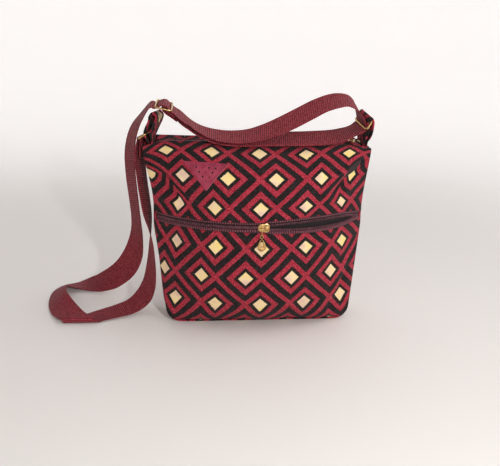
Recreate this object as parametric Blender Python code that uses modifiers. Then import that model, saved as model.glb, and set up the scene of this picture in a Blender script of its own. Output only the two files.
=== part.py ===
# Crossbody bag: woven fabric body with a gusset, a zipped front pocket, a zipped
# top, sewn tabs with metal rings and an adjustable webbing strap.
# Metres, +Z up. The origin is the centre of the flat base, the front faces -Y.

import math

import bmesh
import bpy
from mathutils import Matrix, Vector

# Body
BAG_HEIGHT = 0.272
BASE_WIDTH = 0.274
TOP_WIDTH = 0.318
BASE_DEPTH = 0.060
TOP_DEPTH = 0.049
FRONT_CROWN = 0.068
BACK_CROWN = 0.016
BOTTOM_CORNER_RADIUS = 0.022
BODY_FABRIC = 0.0022
LINING_FABRIC = 0.0008
SEAM_LIFT = 0.0035
SEAM_ROOM = 0.0027
BASE_END_ROOM = 0.0012
FIT_GAP = 0.0003
RIM_CROWN_SHARE = 0.2
GUSSET_BULGE = 0.003
GUSSET_TOP_DROP = 0.005

# Front pocket
FRONT_ZIP_HEIGHT = 0.167
ZIP_FLAT_HALF = 0.016
POCKET_DEPTH = 0.011
POCKET_FLOOR_HEIGHT = 0.028
POCKET_TOP_DROP = 0.026
LINING_CLEARANCE = 0.0012

# Zippers
ZIP_MOUTH_HALF = 0.007
TAPE_WIDTH = 0.0125
TAPE_THICKNESS = 0.0006
TAPE_EDGE = 0.0016
COIL_THICKNESS = 0.0016
COIL_SPINE_INNER = 0.0016
COIL_SPINE_OUTER = 0.0034
TOOTH_OVERLAP = 0.0006
TOOTH_WIDTH = 0.0015
TOOTH_PITCH = 0.0038
MOUTH_GAPE = 0.0045
POST_GAPE = 0.002
GAPE_START = -0.001
GAPE_RUN = 0.008
GAPE_END_RUN = 0.040
COIL_END_ROOM = 0.004

# Slider and pull, in the slider's own frame: x along the track, y across, z outward
SLIDER_HALF_LENGTH = 0.0075
SLIDER_TAIL_HALF = 0.0044
SLIDER_WAIST_HALF = 0.0050
SLIDER_NOSE_HALF = 0.0063
SLIDER_CLEARANCE = 0.0004
SLIDER_PLATE = 0.0009
SLIDER_LIP = 0.0006
POST_HALF_WIDTH = 0.0007
POST_START = 0.0050
BRIDGE_WIRE = 0.0006
BRIDGE_RISE = 0.0026
BRIDGE_BACK = -0.0058
BRIDGE_FRONT = 0.0002
DOME_RADIUS = 0.0042
DOME_HEIGHT = 0.0026
DOME_CENTRE = 0.0040
LINK_WIRE = 0.00055
LINK_HALF_WIDTH = 0.0022
LINK_HALF_HEIGHT = 0.0062
LINK_HANG = 0.0014
LINK_OUT = 0.0002
EYE_HOLE = 0.0017
EYE_RADIUS = 0.0027
DROP_THICKNESS = 0.0012
DROP_HALF_WIDTH = 0.0053
DROP_LENGTH = 0.0180
DROP_NECK_HALF = 0.0012
DROP_HOLE_HALF_WIDTH = 0.0024
DROP_HOLE_END_ROOM = 0.0042
FRONT_SLIDER_X = 0.0022
TOP_SLIDER_END_ROOM = 0.0123
TOP_DROP_TILT = math.radians(6)

# Leather patch
PATCH_WIDTH = 0.060
PATCH_HEIGHT = 0.038
PATCH_THICKNESS = 0.0012
PATCH_SIDE_ROOM = 0.054
PATCH_TOP_DROP = 0.0220
PATCH_HOLE_RADIUS = 0.00145
PATCH_HOLE_PITCH = 0.0088
PATCH_HOLE_ROW = 0.0063
PATCH_HOLE_TOP_ROOM = 0.0070

# Strap hardware
STRAP_WIDTH = 0.038
STRAP_THICKNESS = 0.0015
TAB_THICKNESS = 0.0024
RING_WIRE = 0.0014
RING_CORNER = 0.0035
RING_BAR_SPACING = 0.013
ADJUSTER_WIRE = 0.0012
ADJUSTER_LENGTH = 0.0244
ADJUSTER_SIDE_ROOM = 0.0010
ADJUSTER_CORNER = 0.0028

# Materials: colour, roughness, metallic
MATERIALS = {
    "woven_fabric": ((0.32, 0.025, 0.045), 0.85, 0.0),
    "lining_fabric": ((0.030, 0.022, 0.024), 0.8, 0.0),
    "zipper_tape": ((0.065, 0.018, 0.030), 0.75, 0.0),
    "zipper_coil": ((0.085, 0.025, 0.040), 0.5, 0.0),
    "gold_metal": ((0.83, 0.62, 0.32), 0.25, 1.0),
    "leather": ((0.34, 0.035, 0.080), 0.55, 0.0),
    "webbing": ((0.16, 0.035, 0.048), 0.75, 0.0),
}

HALF_ZIP_CHORD_SHARE = FRONT_ZIP_HEIGHT / BAG_HEIGHT


def clear_scene():
    for old in list(bpy.data.objects):
        bpy.data.objects.remove(old, do_unlink=True)


def new_collection(name):
    made = bpy.data.collections.new(name)
    bpy.context.scene.collection.children.link(made)
    return made


def make_material(name):
    colour, roughness, metallic = MATERIALS[name]
    material = bpy.data.materials.new(name)
    material.use_nodes = True
    shader = material.node_tree.nodes["Principled BSDF"]
    shader.inputs["Base Color"].default_value = (*colour, 1.0)
    shader.inputs["Roughness"].default_value = roughness
    shader.inputs["Metallic"].default_value = metallic
    material.diffuse_color = (*colour, 1.0)
    return material


clear_scene()
PARTS = new_collection("crossbody_bag")
CUTTERS = new_collection("cutters")
FINISH = {name: make_material(name) for name in MATERIALS}


def add_object(name, data, finish):
    made = bpy.data.objects.new(name, data)
    PARTS.objects.link(made)
    if finish:
        data.materials.append(FINISH[finish])
    return made


def mesh_of(name, points, faces, finish, smooth=True):
    mesh = bpy.data.meshes.new(name)
    mesh.from_pydata([tuple(p) for p in points], [], faces)
    made = add_object(name, mesh, finish)
    if smooth:
        mesh.shade_smooth()
        mesh.set_sharp_from_angle(angle=math.radians(40))
    return made


def grid_faces(rows, columns, wrap=False):
    """Quads of a grid of points listed row by row."""
    faces = []
    last = columns if wrap else columns - 1
    for r in range(rows - 1):
        for c in range(last):
            a = r * columns + c
            b = r * columns + (c + 1) % columns
            faces.append((a, b, b + columns, a + columns))
    return faces


def shell(name, rows, thickness, finish, wrap=False, flip=False):
    """An open sheet through rows of points, made solid towards its inside."""
    columns = len(rows[0])
    points = [p for row in rows for p in row]
    faces = grid_faces(len(rows), columns, wrap)
    if flip:
        faces = [tuple(reversed(f)) for f in faces]
    made = mesh_of(name, points, faces, finish)
    solid = made.modifiers.new("thickness", "SOLIDIFY")
    solid.thickness = thickness
    solid.offset = -1.0
    return made


# Shape of the body


def lerp(a, b, t):
    return a + (b - a) * t


def smooth_step(t):
    t = min(1.0, max(0.0, t))
    return t * t * (3 - 2 * t)


def level_share(z):
    """Height as a share of the bag, held level beside the front zipper."""
    low = FRONT_ZIP_HEIGHT - ZIP_FLAT_HALF
    high = FRONT_ZIP_HEIGHT + ZIP_FLAT_HALF
    if z < low:
        return z / low * HALF_ZIP_CHORD_SHARE
    if z > high:
        return lerp(HALF_ZIP_CHORD_SHARE, 1.0, (z - high) / (BAG_HEIGHT - high))
    return HALF_ZIP_CHORD_SHARE


def half_width(z):
    width = lerp(BASE_WIDTH, TOP_WIDTH, level_share(z)) / 2
    if z < BOTTOM_CORNER_RADIUS:
        rise = BOTTOM_CORNER_RADIUS - z
        width -= BOTTOM_CORNER_RADIUS - math.sqrt(BOTTOM_CORNER_RADIUS**2 - rise**2)
    return width


def half_depth(z):
    return lerp(BASE_DEPTH, TOP_DEPTH, level_share(z)) / 2


ZIP_HALF_CHORD = half_width(FRONT_ZIP_HEIGHT)
ZIP_RADIUS = (ZIP_HALF_CHORD**2 + FRONT_CROWN**2) / (2 * FRONT_CROWN)
ZIP_HALF_ANGLE = math.asin(ZIP_HALF_CHORD / ZIP_RADIUS)
ZIP_CENTRE_Y = ZIP_RADIUS - FRONT_CROWN - half_depth(FRONT_ZIP_HEIGHT)


def crown_share(z):
    """How much of the front's bulge is left at a height."""
    low = FRONT_ZIP_HEIGHT - ZIP_FLAT_HALF
    high = FRONT_ZIP_HEIGHT + ZIP_FLAT_HALF
    if z < low:
        t = (low - z) / (low - SEAM_LIFT)
    elif z > high:
        t = (z - high) / (BAG_HEIGHT - high) * math.sqrt(1 - RIM_CROWN_SHARE**2)
    else:
        t = 0.0
    return math.sqrt(max(0.0, 1 - t * t))


def arc_share(angle):
    """The circular plan curve of the front, 1 in the middle and 0 at the side seams."""
    edge = math.cos(ZIP_HALF_ANGLE)
    return (math.cos(angle) - edge) / (1 - edge)


def front_point(angle, z):
    x = half_width(z) * math.sin(angle) / math.sin(ZIP_HALF_ANGLE)
    y = -half_depth(z) - FRONT_CROWN * crown_share(z) * arc_share(angle)
    return Vector((x, y, z))


def front_normal(angle, z):
    step = 1e-4
    across = front_point(angle + step, z) - front_point(angle - step, z)
    up = front_point(angle, z + step) - front_point(angle, z - step)
    return across.cross(up).normalized()


def back_point(angle, z):
    x = half_width(z) * math.sin(angle) / math.sin(ZIP_HALF_ANGLE)
    rise = math.sin(math.pi * min(1.0, z / BAG_HEIGHT)) ** 0.7
    y = half_depth(z) + BACK_CROWN * rise * arc_share(angle)
    return Vector((x, y, z))


def angles(count, edge=ZIP_HALF_ANGLE):
    return [lerp(-edge, edge, i / (count - 1)) for i in range(count)]


def lower_heights(count, top):
    """Heights that close up towards the bottom seam, where the front turns under."""
    low = FRONT_ZIP_HEIGHT - ZIP_FLAT_HALF
    heights = []
    for i in range(count):
        turn = math.pi / 2 * (1 - i / (count - 1))
        heights.append(low - (low - SEAM_LIFT) * math.sin(turn))
    return heights + [top]


def upper_heights(count, bottom):
    high = FRONT_ZIP_HEIGHT + ZIP_FLAT_HALF
    last = math.asin(math.sqrt(1 - RIM_CROWN_SHARE**2))
    reach = (BAG_HEIGHT - high) / math.sin(last)
    return [bottom] + [high + reach * math.sin(last * i / (count - 1)) for i in range(count)]


# Opening of the front zipper

SLIDER_ANGLE = math.asin(FRONT_SLIDER_X / ZIP_RADIUS)
OPEN_RUN = ZIP_RADIUS * (ZIP_HALF_ANGLE - SLIDER_ANGLE) - COIL_END_ROOM


def gape(run):
    """How far each side of the front zipper stands off its middle line, by distance past the slider."""
    if run <= GAPE_START:
        return 0.0
    first = POST_GAPE * smooth_step((run - GAPE_START) / GAPE_RUN)
    t = min(1.0, max(0.0, (run - GAPE_RUN) / (OPEN_RUN - GAPE_RUN)))
    closing = smooth_step((OPEN_RUN - run) / GAPE_END_RUN)
    return (first + (MOUTH_GAPE - POST_GAPE) * math.sin(math.pi * t)) * closing


def front_gape(angle):
    return gape(ZIP_RADIUS * (angle - SLIDER_ANGLE))


def no_gape(_along):
    return 0.0


# Panels

PANEL_COLUMNS = 21


def front_panels():
    columns = angles(PANEL_COLUMNS)
    for side, name in ((-1, "front_panel_lower"), (1, "front_panel_upper")):
        edge = FRONT_ZIP_HEIGHT + side * ZIP_MOUTH_HALF
        heights = lower_heights(7, edge) if side < 0 else upper_heights(7, edge)
        rows = []
        for z in heights:
            fade = smooth_step(1 - abs(z - edge) / (2 * ZIP_FLAT_HALF))
            rows.append([front_point(a, z + side * fade * front_gape(a)) for a in columns])
        shell(name, rows, BODY_FABRIC, "woven_fabric")


def back_panel():
    heights = [SEAM_LIFT, 0.06 * BAG_HEIGHT] + [BAG_HEIGHT * i / 6 for i in range(1, 7)]
    rows = [[back_point(a, z) for a in angles(11)] for z in heights]
    shell("back_panel", rows, BODY_FABRIC, "woven_fabric", flip=True)


def gusset(name, side):
    """Side strip, which follows the rounded bottom corner down to the base."""
    turn = [math.radians(d) for d in (0, 30, 60, 90)]
    heights = [BOTTOM_CORNER_RADIUS * (1 - math.cos(t)) for t in turn]
    top = BAG_HEIGHT - GUSSET_TOP_DROP
    heights += [lerp(BOTTOM_CORNER_RADIUS, top, i / 6) for i in range(1, 7)]
    rows = []
    for z in heights:
        row = []
        for v in (-1, -0.5, 0, 0.5, 1):
            y = v * (half_depth(z) - SEAM_ROOM)
            bulge = GUSSET_BULGE * (1 - v * v) * smooth_step(z / BOTTOM_CORNER_RADIUS - 0.5)
            row.append(Vector((side * (half_width(z) + bulge), y, z)))
        rows.append(row)
    shell(name, rows, BODY_FABRIC, "woven_fabric", flip=side < 0)


def box(name, low, high, finish):
    """A block between two corners, from a unit cube."""
    mesh = bpy.data.meshes.new(name)
    work = bmesh.new()
    bmesh.ops.create_cube(work, size=1.0)
    size = [h - l for l, h in zip(low, high)]
    middle = [(l + h) / 2 for l, h in zip(low, high)]
    bmesh.ops.scale(work, vec=size, verts=work.verts)
    bmesh.ops.translate(work, vec=middle, verts=work.verts)
    work.to_mesh(mesh)
    work.free()
    return add_object(name, mesh, finish)


def base_panel():
    x = BASE_WIDTH / 2 - BOTTOM_CORNER_RADIUS - BASE_END_ROOM
    y = BASE_DEPTH / 2 - SEAM_ROOM
    box("base_panel", (-x, -y, 0), (x, y, BODY_FABRIC), "woven_fabric")


TAB_FOOT_ROOM = 0.0122
STRIP_HALF_LENGTH = TOP_WIDTH / 2 - TAB_FOOT_ROOM
STRIP_TOP = BAG_HEIGHT - FIT_GAP
TOP_SLIDER_X = STRIP_HALF_LENGTH - TOP_SLIDER_END_ROOM


def top_strip(name, side):
    """Fabric between a rim and the top zipper, curved along the rim."""
    rows = []
    for share in (0, 0.5, 1):
        row = []
        for i in range(PANEL_COLUMNS):
            x = lerp(-STRIP_HALF_LENGTH, STRIP_HALF_LENGTH, i / (PANEL_COLUMNS - 1))
            angle = math.asin(x / (TOP_WIDTH / 2) * math.sin(ZIP_HALF_ANGLE))
            rim = front_point(angle, BAG_HEIGHT) if side < 0 else back_point(angle, BAG_HEIGHT)
            outer = abs(rim.y) - SEAM_ROOM
            row.append(Vector((x, side * lerp(ZIP_MOUTH_HALF, outer, share), STRIP_TOP)))
        rows.append(row)
    shell(name, rows, BODY_FABRIC, "woven_fabric", flip=side < 0)


def pocket_lining():
    """Back wall of the front pocket, sewn in behind both front panels."""
    low = POCKET_FLOOR_HEIGHT
    high = BAG_HEIGHT - POCKET_TOP_DROP
    rows = []
    for i in range(9):
        z = lerp(low, high, i / 8)
        belly = math.sin(math.pi * i / 8) ** 0.5
        row = []
        for a in angles(PANEL_COLUMNS, ZIP_HALF_ANGLE * 0.93):
            inset = BODY_FABRIC + LINING_CLEARANCE + POCKET_DEPTH * belly * arc_share(a)
            row.append(front_point(a, z) - front_normal(a, z) * inset)
        rows.append(row)
    shell("pocket_lining", rows, LINING_FABRIC, "lining_fabric")


def lining_loop(z, depth_share):
    inset = BODY_FABRIC + GUSSET_BULGE + LINING_CLEARANCE
    front = BODY_FABRIC + 2 * LINING_FABRIC + 2 * LINING_CLEARANCE
    loop = []
    narrow = (half_width(z) - inset) / half_width(z)
    for a in angles(13):
        point = front_point(a, z)
        y = point.y * depth_share + front + (POCKET_DEPTH + LINING_CLEARANCE) * arc_share(a)
        loop.append(Vector((point.x * narrow, min(y, -inset), z)))
    for a in reversed(angles(9)):
        point = back_point(a, z)
        loop.append(Vector((point.x * narrow, point.y - inset, z)))
    return loop


def main_lining():
    """Loose inner bag, closed at the bottom and open under the top zipper."""
    low = BODY_FABRIC + LINING_CLEARANCE + LINING_FABRIC
    high = BAG_HEIGHT - POCKET_TOP_DROP
    heights = [lerp(low, high, i / 7) for i in range(8)]
    rows = [lining_loop(z, 0.45 if i == 0 else 0.86) for i, z in enumerate(heights)]
    columns = len(rows[0])
    points = [p for row in rows for p in row]
    faces = grid_faces(len(rows), columns, wrap=True)
    faces.append(tuple(reversed(range(columns))))
    made = mesh_of("main_lining", points, faces, "lining_fabric")
    solid = made.modifiers.new("thickness", "SOLIDIFY")
    solid.thickness = LINING_FABRIC
    solid.offset = -1.0


# Zippers. A track maps (distance along, distance across, height out) to a place.


def front_track(along, across, out):
    angle = along / ZIP_RADIUS
    radius = ZIP_RADIUS - BODY_FABRIC - COIL_BASE + out
    x = radius * math.sin(angle)
    y = ZIP_CENTRE_Y - radius * math.cos(angle)
    return Vector((x, y, FRONT_ZIP_HEIGHT + across))


def top_track(along, across, out):
    return Vector((along, across, STRIP_TOP - BODY_FABRIC - COIL_BASE + out))


COIL_BASE = TAPE_THICKNESS + FIT_GAP
COIL_TOP = COIL_BASE + COIL_THICKNESS


def sheet_block(name, track, stations, inner, outer, low, high, finish):
    """A strip of constant thickness along a track, with its edges given by distance along."""
    points = []
    for s in stations:
        for across, out in ((inner(s), low), (outer(s), low), (outer(s), high), (inner(s), high)):
            points.append(track(s, across, out))
    return points_to_bar(name, points, 4, finish)


def points_to_bar(name, points, ring, finish):
    """A solid through rings of points, closed at both ends."""
    count = len(points) // ring
    faces = grid_faces(count, ring, wrap=True)
    faces.append(tuple(reversed(range(ring))))
    faces.append(tuple(range((count - 1) * ring, count * ring)))
    made = mesh_of(name, points, faces, finish, smooth=False)
    outward(made.data)
    return made


def outward(mesh):
    work = bmesh.new()
    work.from_mesh(mesh)
    bmesh.ops.recalc_face_normals(work, faces=work.faces)
    work.to_mesh(mesh)
    work.free()


def zip_tape(name, track, half_run, side, opening):
    stations = [lerp(-half_run, half_run, i / 30) for i in range(31)]
    sheet_block(
        name,
        track,
        stations,
        lambda s: side * (TAPE_EDGE + opening(s)),
        lambda s: side * (TAPE_EDGE + TAPE_WIDTH + opening(s)),
        0.0,
        TAPE_THICKNESS,
        "zipper_tape",
    )


def zip_coil(name, track, half_run, side, shift, opening):
    """One side of the coil: a spine with a tooth at every pitch, in step with the other side."""
    pitches = int(2 * half_run / TOOTH_PITCH)
    start = -pitches * TOOTH_PITCH / 2 + shift
    points = []
    faces = []

    def pair(s, across):
        for out in (COIL_BASE, COIL_TOP):
            points.append(track(s, side * (across + opening(s)), out))

    for i in range(pitches):
        left = start + i * TOOTH_PITCH
        right = left + TOOTH_WIDTH
        pair(left, COIL_SPINE_OUTER)
        pair(left, COIL_SPINE_INNER)
        pair(left, -TOOTH_OVERLAP)
        pair(right, -TOOTH_OVERLAP)
        pair(right, COIL_SPINE_INNER)
    pair(start + pitches * TOOTH_PITCH, COIL_SPINE_OUTER)
    pair(start + pitches * TOOTH_PITCH, COIL_SPINE_INNER)
    ring = 10
    for i in range(pitches):
        at = i * ring
        low = [at, at + 2, at + 4, at + 6, at + 8, at + ring + 2, at + ring]
        high = [v + 1 for v in low]
        faces.append(low)
        faces.append(high)
        for a, b in zip(low[1:5], low[2:6]):
            faces.append((a, b, b + 1, a + 1))
        faces.append((at, at + ring, at + ring + 1, at + 1))
    last = pitches * ring
    faces.append((0, 2, 3, 1))
    faces.append((last, last + 2, last + 3, last + 1))
    made = mesh_of(name, points, faces, "zipper_coil", smooth=False)
    outward(made.data)


def join_bodies(target, others):
    """Unites closed pieces into the target with exact Booleans."""
    for other in others:
        for holder in list(other.users_collection):
            holder.objects.unlink(other)
        CUTTERS.objects.link(other)
        other.hide_render = True
        other.display_type = "WIRE"
        union = target.modifiers.new("join_" + other.name, "BOOLEAN")
        union.operation = "UNION"
        union.solver = "EXACT"
        union.object = other


def cut_from(target, cutter):
    for holder in list(cutter.users_collection):
        holder.objects.unlink(cutter)
    CUTTERS.objects.link(cutter)
    cutter.hide_render = True
    cutter.display_type = "WIRE"
    cut = target.modifiers.new("cut_" + cutter.name, "BOOLEAN")
    cut.operation = "DIFFERENCE"
    cut.solver = "EXACT"
    cut.object = cutter


def outline_block(name, outline, low, high, finish):
    """A flat outline in the slider's frame, raised from one height to another."""
    points = [(x, y, low) for x, y in outline] + [(x, y, high) for x, y in outline]
    n = len(outline)
    faces = [tuple(reversed(range(n))), tuple(range(n, 2 * n))]
    faces += [(i, (i + 1) % n, n + (i + 1) % n, n + i) for i in range(n)]
    made = mesh_of(name, points, faces, finish, smooth=False)
    outward(made.data)
    return made


PLATE_LOW = COIL_TOP + SLIDER_CLEARANCE
PLATE_HIGH = PLATE_LOW + SLIDER_PLATE
BACK_HIGH = -SLIDER_CLEARANCE
BACK_LOW = BACK_HIGH - SLIDER_PLATE
BRIDGE_TOP = PLATE_HIGH + BRIDGE_RISE


def slider_outline(inset=0.0):
    half = SLIDER_HALF_LENGTH
    upper = [
        (-half, SLIDER_TAIL_HALF - inset),
        (0.0, SLIDER_WAIST_HALF - inset),
        (half, SLIDER_NOSE_HALF - inset),
    ]
    return upper + [(x, -y) for x, y in reversed(upper)]


def slider_body(name):
    """Two plates round the coils, joined by the post that parts them, with lips, a bridge and a dome."""
    plate = outline_block(name, slider_outline(), PLATE_LOW, PLATE_HIGH, "gold_metal")
    back = outline_block(name + "_back", slider_outline(), BACK_LOW, BACK_HIGH, None)
    nose = SLIDER_HALF_LENGTH - SLIDER_LIP
    half = POST_HALF_WIDTH
    corners = [(POST_START, -half), (nose, -half), (nose, half), (POST_START, half)]
    sink = SLIDER_PLATE / 2
    post = outline_block(name + "_post", corners, BACK_HIGH - sink, PLATE_LOW + sink, None)
    others = [back, post]
    lip_low = TAPE_THICKNESS + SLIDER_CLEARANCE
    outer = slider_outline()
    inner = slider_outline(SLIDER_LIP)
    for side, picks in (("upper", (0, 1, 2)), ("lower", (3, 4, 5))):
        ring = [outer[i] for i in picks] + [inner[i] for i in reversed(picks)]
        others.append(outline_block(f"{name}_lip_{side}", ring, lip_low, PLATE_LOW + sink, None))
    others.append(bridge(name + "_bridge"))
    others.append(dome(name + "_dome"))
    join_bodies(plate, others)
    return plate


def curve_mesh(name, points, radius, cyclic, finish, resolution=1):
    """A round wire through points, as a mesh whose caps are welded."""
    curve = bpy.data.curves.new(name + "_wire", "CURVE")
    curve.dimensions = "3D"
    curve.bevel_depth = radius
    curve.bevel_resolution = resolution
    curve.use_fill_caps = not cyclic
    spline = curve.splines.new("POLY")
    spline.points.add(len(points) - 1)
    for slot, point in zip(spline.points, points):
        slot.co = (*point, 1.0)
    spline.use_cyclic_u = cyclic
    guide = bpy.data.objects.new(name + "_wire", curve)
    bpy.context.scene.collection.objects.link(guide)
    bpy.context.view_layer.update()
    graph = bpy.context.evaluated_depsgraph_get()
    mesh = bpy.data.meshes.new_from_object(guide.evaluated_get(graph))
    work = bmesh.new()
    work.from_mesh(mesh)
    bmesh.ops.remove_doubles(work, verts=work.verts, dist=radius / 100)
    bmesh.ops.recalc_face_normals(work, faces=work.faces)
    work.to_mesh(mesh)
    work.free()
    mesh.name = name
    made = add_object(name, mesh, None)
    mesh.materials.clear()
    if finish:
        mesh.materials.append(FINISH[finish])
    mesh.shade_smooth()
    bpy.data.objects.remove(guide, do_unlink=True)
    return made


def bridge(name):
    sink = PLATE_HIGH - SLIDER_PLATE / 2
    turn = BRIDGE_WIRE * 1.5
    points = [
        (BRIDGE_BACK, 0, sink),
        (BRIDGE_BACK, 0, BRIDGE_TOP - turn),
        (BRIDGE_BACK + turn, 0, BRIDGE_TOP),
        (BRIDGE_FRONT - turn, 0, BRIDGE_TOP),
        (BRIDGE_FRONT, 0, BRIDGE_TOP - turn),
        (BRIDGE_FRONT, 0, sink),
    ]
    return curve_mesh(name, points, BRIDGE_WIRE, False, None)


def dome(name):
    mesh = bpy.data.meshes.new(name)
    work = bmesh.new()
    bmesh.ops.create_uvsphere(work, u_segments=16, v_segments=8, radius=1.0)
    below = [v for v in work.verts if v.co.z < -0.1]
    bmesh.ops.delete(work, geom=below, context="VERTS")
    bmesh.ops.holes_fill(work, edges=[e for e in work.edges if e.is_boundary])
    size = (DOME_RADIUS - BRIDGE_WIRE, DOME_RADIUS, DOME_HEIGHT)
    bmesh.ops.scale(work, vec=size, verts=work.verts)
    place = (DOME_CENTRE, 0, PLATE_HIGH - SLIDER_PLATE / 3)
    bmesh.ops.translate(work, vec=place, verts=work.verts)
    work.to_mesh(mesh)
    work.free()
    return add_object(name, mesh, None)


LINK_X = (BRIDGE_BACK + BRIDGE_FRONT) / 2
LINK_Z = BRIDGE_TOP + LINK_OUT
LINK_Y = LINK_HANG - LINK_HALF_HEIGHT
EYE_Y = LINK_Y - LINK_HALF_HEIGHT + LINK_WIRE + 2 * FIT_GAP - EYE_HOLE


def pull_link(name):
    """Oval link through the bridge, seen edge on from the front."""
    points = []
    for i in range(18):
        t = 2 * math.pi * i / 18
        y = LINK_Y + LINK_HALF_HEIGHT * math.cos(t)
        z = LINK_Z + LINK_HALF_WIDTH * math.sin(t)
        points.append((LINK_X, y, z))
    return curve_mesh(name, points, LINK_WIRE, True, "gold_metal")


def drop_outline():
    """Outer edge of the drop: an eye at the top, running into a teardrop."""
    points = []
    join = math.asin(DROP_NECK_HALF / EYE_RADIUS)
    for i in range(13):
        t = lerp(join - math.pi / 2, 3 * math.pi / 2 - join, i / 12)
        points.append((EYE_RADIUS * math.cos(t), EYE_RADIUS * math.sin(t)))
    bulb = -EYE_RADIUS - DROP_LENGTH + DROP_HALF_WIDTH
    for i in range(13):
        t = math.pi - math.radians(18) + (math.pi + math.radians(36)) * i / 12
        points.append((DROP_HALF_WIDTH * math.cos(t), bulb + DROP_HALF_WIDTH * math.sin(t)))
    return points


def pull_drop(name):
    """Flat teardrop charm with an eye and a long pointed hole."""
    half = DROP_THICKNESS / 2
    plate = outline_block(name, drop_outline(), -half, half, "gold_metal")
    eye = [(EYE_HOLE * math.cos(t), EYE_HOLE * math.sin(t)) for t in
           [2 * math.pi * i / 14 for i in range(14)]]
    low = -EYE_RADIUS - DROP_LENGTH + DROP_HOLE_END_ROOM
    high = -EYE_RADIUS - DROP_HOLE_END_ROOM / 2
    centre = low + DROP_HOLE_HALF_WIDTH
    hole = [(0.0, high)]
    for i in range(9):
        t = math.pi + math.pi * i / 8
        hole.append((DROP_HOLE_HALF_WIDTH * math.cos(t), centre + DROP_HOLE_HALF_WIDTH * math.sin(t)))
    for label, ring in (("eye", eye), ("slot", hole)):
        cutter = outline_block(f"{name}_{label}", ring, -DROP_THICKNESS, DROP_THICKNESS, None)
        cut_from(plate, cutter)
    bake_place(plate, Matrix.Translation((LINK_X, EYE_Y, LINK_Z)))
    return plate


def bake_place(piece, matrix):
    """Moves a piece and its cutters together, keeping their meshes as they are."""
    piece.matrix_world = matrix @ piece.matrix_world
    for step in piece.modifiers:
        if step.type == "BOOLEAN":
            step.object.matrix_world = matrix @ step.object.matrix_world


def pivot(piece, point):
    """Sets a piece's origin on its joint's axis without moving its surface."""
    shift = Matrix.Translation(point)
    piece.data.transform(shift.inverted())
    piece.matrix_world = piece.matrix_world @ shift


def zipper_hardware(prefix, frame, drop_tilt):
    slider = slider_body(prefix + "_slider")
    link = pull_link(prefix + "_pull_link")
    drop = pull_drop(prefix + "_pull_drop")
    pivot(link, (LINK_X, 0, BRIDGE_TOP))
    eye = Vector((LINK_X, LINK_Y - LINK_HALF_HEIGHT, LINK_Z))
    about_eye = Matrix.Translation(eye) @ Matrix.Rotation(drop_tilt, 4, "X") @ Matrix.Translation(-eye)
    bake_place(drop, about_eye)
    for piece in (slider, link, drop):
        bake_place(piece, frame)


def front_zipper():
    run = ZIP_RADIUS * ZIP_HALF_ANGLE - COIL_END_ROOM

    def opening(s):
        return front_gape(s / ZIP_RADIUS)

    for side, label in ((1, "upper"), (-1, "lower")):
        zip_tape("front_zip_tape_" + label, front_track, run, side, opening)
        shift = 0.0 if side > 0 else TOOTH_PITCH / 2
        zip_coil("front_zip_coil_" + label, front_track, run, side, shift, opening)
    place = front_track(SLIDER_ANGLE * ZIP_RADIUS, 0, 0)
    frame = Matrix.Translation(place) @ Matrix.Rotation(SLIDER_ANGLE, 4, "Z")
    frame = frame @ Matrix.Rotation(math.pi / 2, 4, "X")
    zipper_hardware("front_zip", frame, 0.0)


def top_zipper():
    run = STRIP_HALF_LENGTH - COIL_END_ROOM

    def opening(s):
        return POST_GAPE * smooth_step((s - TOP_SLIDER_X - GAPE_START) / GAPE_RUN)

    for side, label in ((1, "back"), (-1, "front")):
        zip_tape("top_zip_tape_" + label, top_track, run, side, opening)
        shift = 0.0 if side > 0 else TOOTH_PITCH / 2
        zip_coil("top_zip_coil_" + label, top_track, run, side, shift, opening)
    zipper_hardware("top_zip", Matrix.Translation(top_track(TOP_SLIDER_X, 0, 0)), TOP_DROP_TILT)


# Leather patch

PATCH_CENTRE_X = (PATCH_WIDTH - TOP_WIDTH) / 2 + PATCH_SIDE_ROOM


def patch_place(x, drop, out):
    """A place on the upper front panel, by distance from the middle and down from the patch's top."""
    z = BAG_HEIGHT - PATCH_TOP_DROP - drop
    ratio = (PATCH_CENTRE_X + x) / half_width(z)
    angle = math.asin(ratio * math.sin(ZIP_HALF_ANGLE))
    return front_point(angle, z) + front_normal(angle, z) * out, front_normal(angle, z)


def fabric_drops(length, count):
    """Heights below the patch's top edge at equal steps measured along the curved fabric."""
    steps = []
    drop = 0.0
    here = patch_place(0, 0, 0)[0]
    travelled = 0.0
    fine = length / 200
    while len(steps) < count:
        if travelled >= length * len(steps) / (count - 1) - fine / 2:
            steps.append(drop)
        drop += fine / 2
        there = patch_place(0, drop, 0)[0]
        travelled += (there - here).length
        here = there
    return steps


def leather_patch():
    rows = []
    count = 9
    for i, drop in enumerate(fabric_drops(PATCH_HEIGHT, count)):
        half = PATCH_WIDTH / 2 * max(0.02, 1 - i / (count - 1))
        row = []
        for j in range(9):
            x = lerp(-half, half, j / 8)
            row.append(patch_place(x, drop, FIT_GAP + PATCH_THICKNESS)[0])
        rows.append(row)
    patch = shell("leather_patch", rows, PATCH_THICKNESS, "leather", flip=True)
    work = bmesh.new()
    drops = fabric_drops(PATCH_HEIGHT, 42)
    for row in range(4):
        down = PATCH_HOLE_TOP_ROOM + row * PATCH_HOLE_ROW
        drop = drops[round(down / PATCH_HEIGHT * 41)]
        for k in range(4 - row):
            x = (k - (3 - row) / 2) * PATCH_HOLE_PITCH
            place, normal = patch_place(x, drop, PATCH_THICKNESS / 2 + FIT_GAP)
            turn = normal.to_track_quat("Z", "Y").to_matrix().to_4x4()
            bmesh.ops.create_cone(
                work, cap_ends=True, segments=8, depth=4 * PATCH_THICKNESS,
                radius1=PATCH_HOLE_RADIUS, radius2=PATCH_HOLE_RADIUS,
                matrix=Matrix.Translation(place) @ turn,
            )
    mesh = bpy.data.meshes.new("patch_holes")
    work.to_mesh(mesh)
    work.free()
    cut_from(patch, add_object("patch_holes", mesh, None))


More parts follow.
